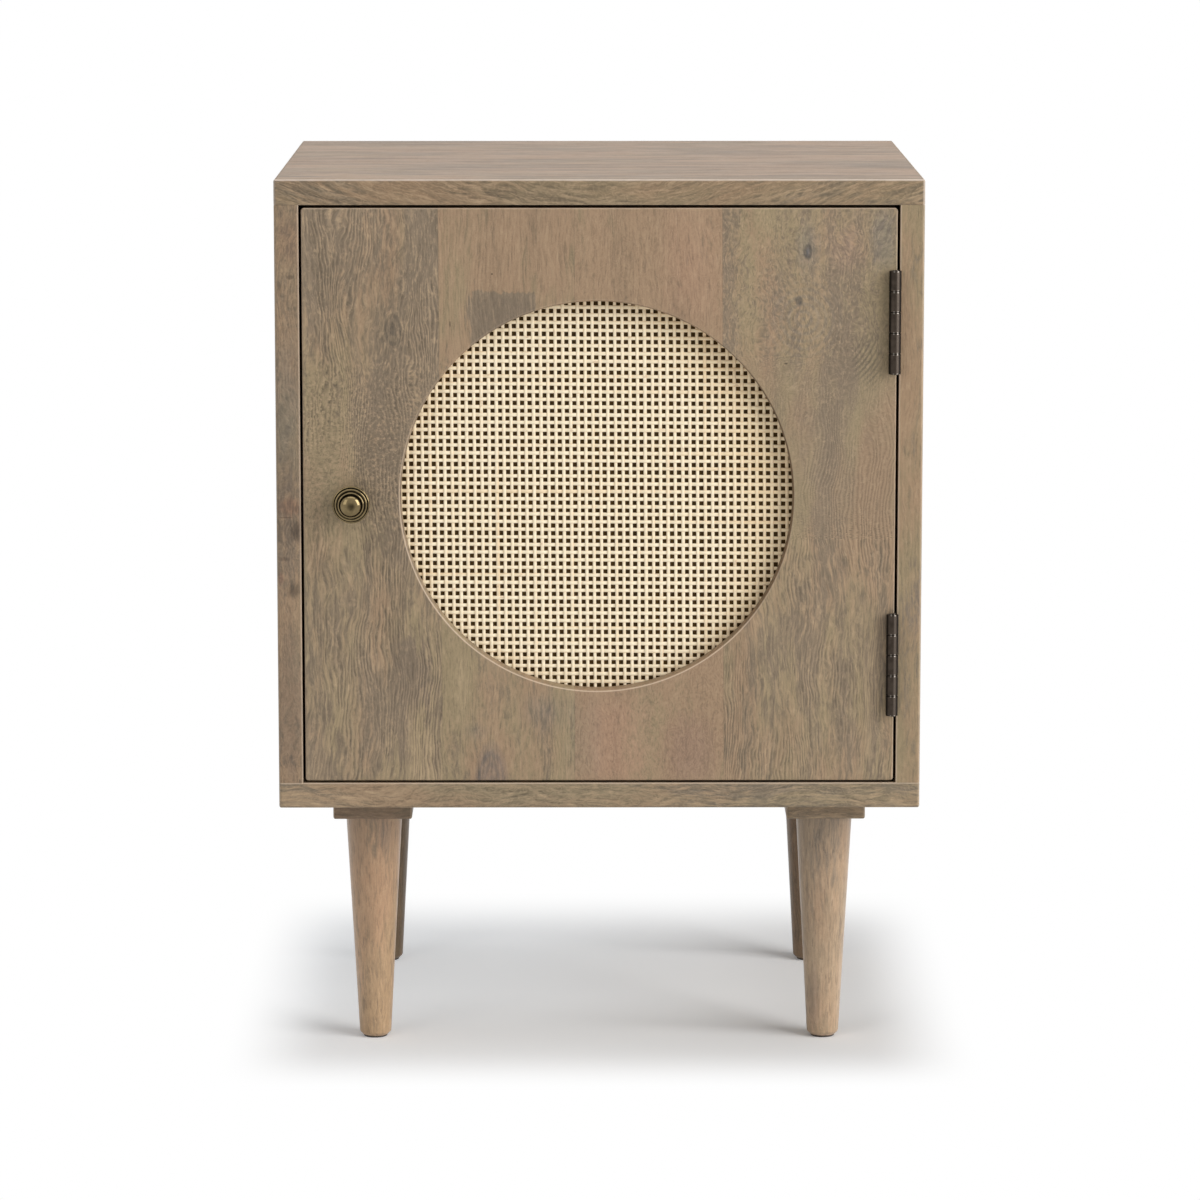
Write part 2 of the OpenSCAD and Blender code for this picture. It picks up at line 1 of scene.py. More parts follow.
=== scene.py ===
import json
import math
import random
from types import SimpleNamespace
import bpy
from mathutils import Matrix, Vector


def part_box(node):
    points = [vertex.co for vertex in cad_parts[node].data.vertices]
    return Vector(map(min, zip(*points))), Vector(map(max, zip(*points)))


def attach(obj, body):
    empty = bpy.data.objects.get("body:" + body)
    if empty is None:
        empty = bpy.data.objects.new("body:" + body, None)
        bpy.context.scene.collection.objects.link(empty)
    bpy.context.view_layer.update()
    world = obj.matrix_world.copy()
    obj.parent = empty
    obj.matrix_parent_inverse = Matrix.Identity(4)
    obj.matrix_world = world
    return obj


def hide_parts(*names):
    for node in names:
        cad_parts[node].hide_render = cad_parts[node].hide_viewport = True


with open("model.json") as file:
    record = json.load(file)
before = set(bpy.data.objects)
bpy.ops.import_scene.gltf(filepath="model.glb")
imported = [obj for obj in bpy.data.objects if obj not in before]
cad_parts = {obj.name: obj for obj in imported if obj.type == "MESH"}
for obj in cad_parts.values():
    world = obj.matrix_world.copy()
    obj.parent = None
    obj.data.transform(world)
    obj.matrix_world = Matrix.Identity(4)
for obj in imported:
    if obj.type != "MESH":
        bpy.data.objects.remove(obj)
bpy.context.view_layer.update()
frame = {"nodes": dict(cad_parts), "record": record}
nodes = frame["nodes"]
print("cupboard loaded,", len(nodes), "parts")


# small helpers for building shader trees

class Value:
    # a socket that can be added, multiplied and so on, so that a shader reads like a formula
    def __init__(self, socket):
        self.socket, self.tree = socket, socket.id_data

    def __add__(self, other):
        return operate("ADD", self, other)

    def __sub__(self, other):
        return operate("SUBTRACT", self, other)

    def __rsub__(self, other):
        return operate("SUBTRACT", other, self)

    def __mul__(self, other):
        return operate("MULTIPLY", self, other)

    def __truediv__(self, other):
        return operate("DIVIDE", self, other)

    def __abs__(self):
        return operate("ABSOLUTE", self)

    def parts(self):
        split = newNode(self.tree, "SeparateXYZ")
        feed(split.inputs[0], self)
        return [Value(socket) for socket in split.outputs]


def newNode(tree, kind, **settings):
    node = tree.nodes.new("ShaderNode" + kind)
    for name, setting in settings.items():
        setattr(node, name, setting)
    return node


def feed(socket, value):
    if isinstance(value, Value):
        value.tree.links.new(value.socket, socket)
    else:
        socket.default_value = value


def treeOf(*values):
    return next(value.tree for value in values if isinstance(value, Value))


def operate(operation, *values):
    # vector maths as soon as one of the values is a vector or a colour
    vector = any(value.socket.type != "VALUE" if isinstance(value, Value) else isinstance(value, tuple)
                 for value in values)
    node = newNode(treeOf(*values), "VectorMath" if vector else "Math", operation=operation)
    for socket, value in zip(node.inputs, values):
        feed(socket, (value,) * 3 if vector and isinstance(value, (int, float)) else value)
    return Value(node.outputs["Value" if operation == "LENGTH" else 0])


def largest(first, *others):
    for other in others:
        first = operate("MAXIMUM", first, other)
    return first


def smallest(first, second):
    return operate("MINIMUM", first, second)


def clamped(value):
    value.socket.node.use_clamp = True
    return value


def joined(x, y, z):
    join = newNode(treeOf(x, y, z), "CombineXYZ")
    for socket, value in zip(join.inputs, (x, y, z)):
        feed(socket, value)
    return Value(join.outputs[0])


def rise(value, low, high, start=0.0, end=1.0):
    # a soft step from start to end while value goes from low to high
    node = newNode(treeOf(value), "MapRange", interpolation_type="SMOOTHSTEP")
    for socket, given in zip(node.inputs, (value, low, high, start, end)):
        feed(socket, given)
    return Value(node.outputs[0])


def mixColours(factor, first, second, kind="MIX"):
    node = newNode(treeOf(factor, first, second), "Mix", data_type="RGBA", blend_type=kind)
    for place, value in ((0, factor), (6, first), (7, second)):     # the mix node's sockets for colours
        feed(node.inputs[place], value)
    return Value(node.outputs[2])


def noise(vector, scale, detail=2.0, roughness=0.5, out=0):
    node = newNode(vector.tree, "TexNoise")
    for name, value in (("Vector", vector), ("Scale", scale), ("Detail", detail), ("Roughness", roughness)):
        feed(node.inputs[name], value)
    return Value(node.outputs[out])


def label(name):
    # fibreTurns becomes Fibre turns
    return "".join(" " + letter if letter.isupper() else letter for letter in name).capitalize()


def makeGroup(name, build, inputs, outputs):
    # build gets the group's inputs and returns its outputs, both by name
    group = bpy.data.node_groups.new(name, "ShaderNodeTree")
    for side, sockets in (("INPUT", inputs), ("OUTPUT", outputs)):
        for kind, names in sockets.items():
            for each in names:
                group.interface.new_socket(name=label(each), in_out=side, socket_type="NodeSocket" + kind)
    source = group.nodes.new("NodeGroupInput").outputs
    given = {each: Value(source[label(each)]) for names in inputs.values() for each in names}
    target = group.nodes.new("NodeGroupOutput").inputs
    for each, value in build(SimpleNamespace(**given)).items():
        feed(target[label(each)], value)
    return group


def useGroup(group, **values):
    node = newNode(treeOf(*values.values()), "Group", node_tree=group)
    for name, value in values.items():
        feed(node.inputs[label(name)], value)
    return SimpleNamespace(**{socket.name.lower(): Value(socket) for socket in node.outputs})


def shade(hexText):
    # a colour as picked on screen, in Blender's linear values
    parts = [int(hexText[i:i + 2], 16) / 255 for i in (0, 2, 4)]
    return tuple(c / 12.92 if c < 0.04045 else ((c + 0.055) / 1.055) ** 2.4 for c in parts) + (1.0,)


def tint(tone, wood):
    # what one colour is multiplied by to become another
    return tuple(target / start for target, start in zip(shade(tone), shade(wood)))


def newMaterial(name):
    material = bpy.data.materials.new(name)
    material.use_nodes = True
    tree = material.node_tree
    position = Value(newNode(tree, "TexCoord").outputs["Object"])
    return material, tree.nodes["Principled BSDF"].inputs, position


def finishSurface(surface, colour, roughness, height, relief):
    bump = newNode(height.tree, "Bump")
    bump.inputs["Distance"].default_value = relief
    feed(bump.inputs["Height"], height)
    for name, value in (("Base Color", colour), ("Roughness", roughness), ("Normal", Value(bump.outputs[0]))):
        feed(surface[name], value)


# mango wood: rings and fibres that swirl together, over warm, olive and grey patches
grainNumbers = ("wander", "swirl", "curl", "greyShare", "oliveShare", "rings", "streaks", "pores", "flecks",
                "fibreTurns", "speckle", "worms")
grainTones = ("warm", "olive", "grey", "dark", "pale")
grainFigure = {
    # how quickly each changes along the grain for one across it, scale, detail, roughness
    "bands": (0.05, 95, 3.0, 0.55), "slow": (0.12, 42, 2.0, 0.5), "flecks": (0.5, 400, 2.0, 0.6),
    "pores": (0.09, 800, 1.0, 0.5), "worms": (0.6, 190, 1.0, 0.5), "patches": (0.3, 21, 4.0, 0.62),
    "lively": (0.4, 38, 2.0, 0.5),
    "coarse": 500, "fine": 1250, "dust": 1150,              # scales
    "drifts": {"wander": (0.3, 12), "swirl": (0.42, 34), "curl": (0.5, 110)},
    "seedStep": (1.37, 2.11, 0.73), "driftAcross": (2, 2, 0),
    "ringsAcross": 2900.0, "ringsThrough": 900.0, "ringWobble": 7.0, "wormTurns": 38.0,     # radians
}


def mangoGrain(given):
    def figure(source, name):
        along, *rest = grainFigure[name]
        return noise(source * (1, 1, along), *rest)

    def drift(source, name):
        along, scale = grainFigure["drifts"][name]
        wave = noise(source * (1, 1, along), scale, out="Color") - (0.5, 0.5, 0.5)
        return source + wave * grainFigure["driftAcross"] * getattr(given, name)

    loose = drift(given.position + given.seed * grainFigure["seedStep"], "wander")
    place = drift(drift(loose, "swirl"), "curl")
    bands, slow, flecks, pores, worms = (figure(place, name)
                                         for name in ("bands", "slow", "flecks", "pores", "worms"))
    patches, lively = figure(loose, "patches"), figure(loose, "lively")
    olives = noise(loose * (1.3, 1, 0.4), 15, 3.0, 0.6)
    fibres = place * joined(1.0, 1.0, given.fibreTurns)      # few turns make long, straight fibres
    coarse = noise(fibres, grainFigure["coarse"], 3.0, 0.6)
    fine = noise(fibres, grainFigure["fine"], 2.0, 0.6)

    # grey patches keep ragged edges because the fibres push them about
    edge = 0.74 - given.greyShare * 0.5
    grey = rise((coarse - 0.5) * 0.5 + (bands - 0.5) * 0.35 + patches, edge - 0.11, edge + 0.11)
    edge = 0.74 - given.oliveShare * 0.5
    olive = rise((coarse - 0.5) * 0.3 + olives, edge - 0.1, edge + 0.1)
    colour = mixColours(olive, given.warm, given.olive)
    colour = mixColours(grey, colour, given.grey)

    # rings: evenly spaced lines across the board, broken up along it; worms: fine squiggles
    x, y, z = place.parts()
    ring = operate("COSINE", x * grainFigure["ringsAcross"] + y * grainFigure["ringsThrough"]
                   + coarse * grainFigure["ringWobble"])
    lively = rise(lively, 0.38, 0.6) * given.rings
    worms = operate("COSINE", worms * grainFigure["wormTurns"])
    darkening = (rise(fine, 0.5, 0.74) * 0.38 + rise(coarse, 0.48, 0.7) * 0.75 + rise(bands, 0.5, 0.78) * 0.3
                 + rise(slow, 0.5, 0.75) * 0.5) * given.streaks
    darkening = clamped(darkening + rise(worms, 0.1, 1.0) * given.worms + rise(ring, 0.3, 1.0) * lively)
    colour = mixColours(darkening, colour, given.dark)
    lightening = (rise(fine, 0.5, 0.26) * 0.3 + rise(coarse, 0.5, 0.28) * 0.7
                  + rise(slow, 0.48, 0.25) * 0.5) * given.streaks + rise(flecks, 0.55, 0.68) * given.flecks
    lightening = lightening + rise(worms, -0.1, -1.0) * given.worms
    lightening = clamped(lightening + rise(ring, -0.2, -1.0) * lively * 0.8)
    colour = mixColours(lightening, colour, given.pale)
    pores = rise(pores, 0.62, 0.7)
    colour = mixColours(pores * given.pores, colour, given.dark)
    dust = (noise(given.position, grainFigure["dust"], 2.0, 0.7) - 0.5) * 4.0 * given.speckle + 1.0
    colour = mixColours(1.0, colour, dust, "MULTIPLY")
    return {"colour": colour, "height": fine * 0.5 + coarse * 0.6 - pores * 0.5}


def edgeWearAndHighlightMask(given):
    # 1 right on a board's edges, 0 further in than the width, for a pale line that is partly wear and partly
    # painted highlight; lower edges are spared
    fromLow, fromHigh = given.position - given.lowCorner, given.highCorner - given.position
    x, y, z = smallest(fromLow * (1, 1, 3), fromHigh).parts()
    middle = largest(smallest(x, y), smallest(largest(x, y), z))
    patchy = (noise(given.position, 160, 3.0, 0.6) - 0.5) * 0.5
    mask = rise(middle / (given.width * (patchy + 1.0)), 0.25, 1.0, 1.0, 0.0)
    # edges that face upwards are palest: a painted highlight from the light above
    facing = Value(newNode(mask.tree, "NewGeometry").outputs["Normal"]).parts()
    return {"mask": mask * rise(facing[2], -0.6, 0.5, 0.1, 1.0)}


def softSpotMask(given):
    # a soft patch round a point, its edge broken up by noise
    away = abs((given.position - given.centre) / given.reach)
    furthest = largest(*away.parts())
    away = operate("LENGTH", away)
    away = (furthest - away) * given.square + away
    away = away + (noise(given.position * (1, 1, 0.25), given.grain, 3.0, 0.6) - 0.5) * given.ragged
    return {"mask": rise(away, 1.0 - given.soft, 1.0, 1.0, 0.0), "distance": away}


def patinaLook(given):
    # metal that has dulled in grooves and in slow blotches
    blotches = noise(given.position, given.blotch, 4.0, 0.6)
    specks = noise(given.position, 2600, 2.0, 0.6)
    dull = clamped(rise(blotches, 0.35, 0.7) * given.dulling + given.grooves)
    rough = clamped(dull + (specks - 0.5) * 0.18)
    return {"colour": mixColours(dull, given.clean, given.dulled), "height": specks,
            "roughness": rise(rough, 0.0, 1.0, given.smooth, given.matt)}


woodGrain = makeGroup("mango grain", mangoGrain,
                      {"Vector": ["position"], "Float": ["seed", *grainNumbers], "Color": grainTones},
                      {"Color": ["colour"], "Float": ["height"]})
edgeWearAndHighlight = makeGroup("edge rubbing and highlight", edgeWearAndHighlightMask,
                     {"Vector": ["position", "lowCorner", "highCorner"], "Float": ["width"]},
                     {"Float": ["mask"]})
softSpot = makeGroup("soft spot", softSpotMask,
                     {"Vector": ["position", "centre", "reach"],
                      "Float": ["ragged", "soft", "grain", "square"]},
                     {"Float": ["mask", "distance"]})
patina = makeGroup("patina", patinaLook,
                   {"Vector": ["position"], "Color": ["clean", "dulled"],
                    "Float": ["dulling", "grooves", "blotch", "smooth", "matt"]},
                   {"Color": ["colour"], "Float": ["roughness", "height"]})


def addPiece(name, points, faces, material, sharpAngle):
    mesh = bpy.data.meshes.new(name)
    mesh.from_pydata(points, [], faces)
    mesh.materials.append(material)
    mesh.polygons.foreach_set("use_smooth", [True] * len(mesh.polygons))
    mesh.set_sharp_from_angle(angle=math.radians(sharpAngle))
    piece = bpy.data.objects.new(name, mesh)
    bpy.context.collection.objects.link(piece)
    return piece


def grainOf(position, look, seed, varied):
    # varied holds what differs from place to place
    given = {name: look[name] for name in grainNumbers} | {name: shade(look[name]) for name in grainTones}
    return useGroup(woodGrain, position=position, seed=seed, **{**given, **varied})


plainWood = "9A8468"     # a mark's tone is taken against this, so that the grain still shows under it
plainSpot = {"ragged": 0.4, "soft": 0.6, "grain": 260.0, "square": 0.0}      # a spot's usual edge


def spotMask(position, x, z, reachX, reachZ, strength, options):
    spot = useGroup(softSpot, position=position, centre=(x, 0, z), reach=(reachX, 1, reachZ),
                    **{name: options.get(name, usual) for name, usual in plainSpot.items()})
    mask, turns = spot.mask * strength, None
    if "lines" in options:      # growth lines round the mark's own middle
        turns = spot.distance * options["lines"]
    if "arcs" in options:       # growth lines round another point: its x and z, and the lines' spacing
        centreX, centreZ, spacing = options["arcs"]
        turns = operate("LENGTH", position * (1, 0, 1) - (centreX, 0, centreZ)) / spacing
    if turns is not None:
        mask = mask * rise(operate("COSINE", turns * (2 * math.pi)), -0.5, 0.9)
    return mask


def addMarks(position, colour, marks, within=1.0):
    # soft spots of another tone: stains, knots and specks, each placed by its x and z
    for x, z, reachX, reachZ, tone, strength, options in marks:
        mask = spotMask(position, x, z, reachX, reachZ, strength, options) * within
        colour = mixColours(mask, colour, tint(tone, plainWood), "MULTIPLY")
    return colour


def wearAndHighlightOn(position, node, look):
    low, high = map(Vector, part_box(node))
    beyond = Vector((0, 0, look["glued"]))
    return useGroup(edgeWearAndHighlight, position=position, lowCorner=tuple(low - beyond),
                    highCorner=tuple(high + beyond), width=look["wearAndHighlightWidth"]).mask


def finishWood(surface, position, colour, height, wear, look):
    # the pale edge line laid on here is partly wear and partly painted highlight
    colour = mixColours(wear * look["wear"], colour, shade(look["worn"]))
    rough = rise(noise(position, 35), 0.25, 0.75, *(look["rough"] + uneven for uneven in look["uneven"]))
    finishSurface(surface, colour, rough, height, look["relief"])
    surface["Specular IOR Level"].default_value = look["shine"]


cabinetLook = {
    "warm": "A1866A", "olive": "988768", "grey": "807265", "dark": "605342", "pale": "B89F80",
    "greyShare": 0.36, "oliveShare": 0.5, "rings": 0.35, "streaks": 0.62, "pores": 0.35,
    "wander": 0.012, "swirl": 0.006, "curl": 0.0012, "flecks": 0.15, "fibreTurns": 0.16, "speckle": 0.07,
    # the pale edge line's tone, share and width on the next line: partly wear, partly painted highlight
    "worms": 0.08, "worn": "CFBAA3", "wear": 0.8, "wearAndHighlightWidth": 0.0014,
    "glued": 0.0,       # how far a glued end reaches past the board, where its edges get neither the pale wear nor the painted highlight
    "rough": 0.46, "uneven": (-0.02, 0.03), "shine": 0.4, "relief": 0.00014,
    "edgeDepth": (0.0012, 0.0024),      # how far in the edges' own tones fade away
    "markDepth": (0.002, 0.022),        # how far in from the front edge the marks do
}


def boardMaterial(name, node, direction, seed, marks=(), **changes):
    look = {**cabinetLook, **changes}
    material, surface, position = newMaterial(name)
    low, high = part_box(node)
    x, y, z = position.parts()
    along, varied, within = position, {}, 1.0
    if "edge" in look:
        # the front edge and the ends are cut across the rings: slanting streaks, in tones of their own
        edge, (shallow, deep) = look["edge"], look["edgeDepth"]
        onEdge = largest(rise(y, low[1] + shallow, low[1] + deep, 1.0, 0.0),
                         rise(abs(x), high[0] - deep, high[0] - shallow))
        wave = (noise(position * (1, 0, 0), edge["waveScale"], 1.0) - 0.5) * edge["wave"]
        wave = wave - operate("SQRT", x * x + edge["valley"] ** 2) * edge["slope"]
        along = position + joined(0.0, 0.0, wave * onEdge)
        for each in grainNumbers:
            if each in edge:
                varied[each] = rise(onEdge, 0.0, 1.0, look[each], edge[each])
        for each in grainTones:
            if each in edge:
                varied[each] = mixColours(onEdge, shade(look[each]), shade(edge[each]))
    if marks:                   # they fade away behind the front edge
        shallow, deep = look["markDepth"]
        within = rise(y, low[1] + shallow, low[1] + deep, 1.0, 0.0)
    if direction == "X":        # the grain is made to run along Z
        x, y, z = along.parts()
        along = joined(y, z, x)
    grain = grainOf(along, look, seed, varied)
    colour = addMarks(position, grain.colour, marks, within)
    finishWood(surface, position, colour, grain.height, wearAndHighlightOn(position, node, look), look)
    return material


def dress(node, material):
    mesh = nodes[node].data
    if not mesh.materials:
        mesh.materials.append(material)
    for slot in nodes[node].material_slots:
        slot.material = material


leftSideMarks = [       # x, z, reach in x and z, tone, strength, edge
    (-0.2165, 0.5780, 0.0120, 0.0260, "9E8064", 0.6, {"ragged": 0.9, "soft": 0.7}),
    (-0.2140, 0.5540, 0.0035, 0.0022, "5E4E3E", 0.6, {"ragged": 0.9}),
    (-0.2215, 0.5460, 0.0022, 0.0075, "64543F", 0.5, {"ragged": 0.9}),
    (-0.2165, 0.4640, 0.0120, 0.0640, "8B7E6A", 0.7, {"ragged": 0.9, "soft": 0.6, "grain": 150.0}),
    (-0.2165, 0.3940, 0.0120, 0.0090, "9C7A5E", 0.7, {"ragged": 0.6}),
    (-0.2185, 0.3862, 0.0080, 0.0006, "6E5340", 0.6, {"ragged": 0.2}),
    (-0.2115, 0.3765, 0.0060, 0.0100, "574939", 0.8, {"ragged": 0.9, "soft": 0.8}),
    (-0.2165, 0.3740, 0.0100, 0.0150, "74624D", 0.4, {"ragged": 0.9, "arcs": (-0.204, 0.374, 0.0022)}),
    (-0.2205, 0.3570, 0.0060, 0.0022, "6A5845", 0.6, {"ragged": 0.9}),
    (-0.2225, 0.3430, 0.0030, 0.0060, "96745C", 0.6, {"ragged": 0.8}),
    (-0.2130, 0.3345, 0.0070, 0.0095, "5F513F", 0.8, {"ragged": 1.0, "soft": 0.8}),
    (-0.2165, 0.3900, 0.0120, 0.0600, "8B775F", 0.8, {"ragged": 0.6, "soft": 0.6}),
    (-0.2165, 0.2550, 0.0120, 0.0760, "87755F", 0.8, {"ragged": 0.6, "soft": 0.5, "grain": 150.0}),
]
topEdge = {
    "slope": 0.3, "valley": 0.05, "wave": 0.006, "waveScale": 25.0, "swirl": 0.006, "curl": 0.0014,
    "rings": 0.3, "streaks": 0.56, "greyShare": 0.2, "oliveShare": 0.5, "fibreTurns": 0.17, "speckle": 0.09,
    "worms": 0.12, "warm": "91785D", "olive": "88775C", "grey": "746857",
}
boards = {              # which way the grain runs, seed, what differs from the cabinet's usual look
    # the top's face tones are paler and greyer than the cabinet's, a painted sheen from the light above, and
    # its edge line is brighter as painted highlight; its front edge and ends keep darker tones of their own
    "top_panel": ("X", 1.3, {
        "edge": topEdge, "warm": "B19681", "olive": "A7937F", "grey": "968474", "rough": 0.54, "shine": 0.37,
        "swirl": 0.001, "wander": 0.003, "curl": 0.0004, "fibreTurns": 0.05, "flecks": 0.0, "oliveShare": 0.3,
        "greyShare": 0.4, "rings": 0.08, "streaks": 0.5, "worn": "D4C4B6", "wear": 1.0, "wearAndHighlightWidth": 0.0017}),
    "bottom_panel": ("X", 5.2, {"swirl": 0.002, "edge": {
        **topEdge, "slope": 0.04, "wave": 0.012, "waveScale": 16.0, "greyShare": 0.24, "rings": 0.25,
        "warm": "987F64", "olive": "8E7F64", "grey": "786D5E"}}),
    "left_side_panel": ("Z", 8.6, {
        "marks": leftSideMarks, "warm": "977D63", "olive": "8C7960", "grey": "7B6B5A", "swirl": 0.011,
        "curl": 0.0022, "fibreTurns": 0.3, "streaks": 0.36, "speckle": 0.08, "worms": 0.1, "rings": 0.15,
        "glued": 0.005}),
    "right_side_panel": ("Z", 2.9, {
        "greyShare": 0.2, "oliveShare": 0.5, "streaks": 0.3, "fibreTurns": 0.15, "pores": 0.2, "worms": 0.04,
        "rings": 0.1, "warm": "9C8165", "olive": "928163", "glued": 0.005}),
    "shelf": ("X", 7.7, {"rough": 0.62, "shine": 0.2}),
    "back_panel": ("Z", 41.0, {
        "warm": "9C8266", "olive": "95805F", "grey": "857560", "greyShare": 0.35, "streaks": 0.4,
        "curl": 0.0008, "swirl": 0.004, "wander": 0.02, "rough": 0.7, "shine": 0.12}),
    "carcass_dowels": ("Z", 47.0, {
        "warm": "C9A77C", "olive": "C2A276", "grey": "BB9A70", "dark": "9A7A52", "pale": "D8BB92",
        "greyShare": 0.2}),
    "cane_backing": ("Z", 53.0, {       # stained dark brown
        "warm": "4A3413", "olive": "453214", "grey": "403016", "dark": "302311", "pale": "533E1B",
        "greyShare": 0.4, "streaks": 0.5, "swirl": 0.001, "curl": 0.0004, "wear": 0.15, "worn": "564221",
        "rough": 0.75, "shine": 0.1}),
}
blockLook = {"warm": "8E7660", "olive": "85735C", "grey": "75695A"}
darkBlock = {"warm": "7F6955", "olive": "776651", "grey": "695E50", "pale": "9C876D"}
corners = "front_left", "front_right", "rear_left", "rear_right"
for number, corner in enumerate(corners):
    boards[corner + "_leg_block"] = "X", 11.0 + number, darkBlock if corner == "front_left" else blockLook
for side in ("upper", "lower", "left", "right"):
    boards[side + "_cane_batten"] = "X" if side in ("upper", "lower") else "Z", 21.0 + len(side), {}
for node, (direction, seed, changes) in boards.items():
    dress(node, boardMaterial(node.replace("_", " "), node, direction, seed, **changes))
print("boards dressed")


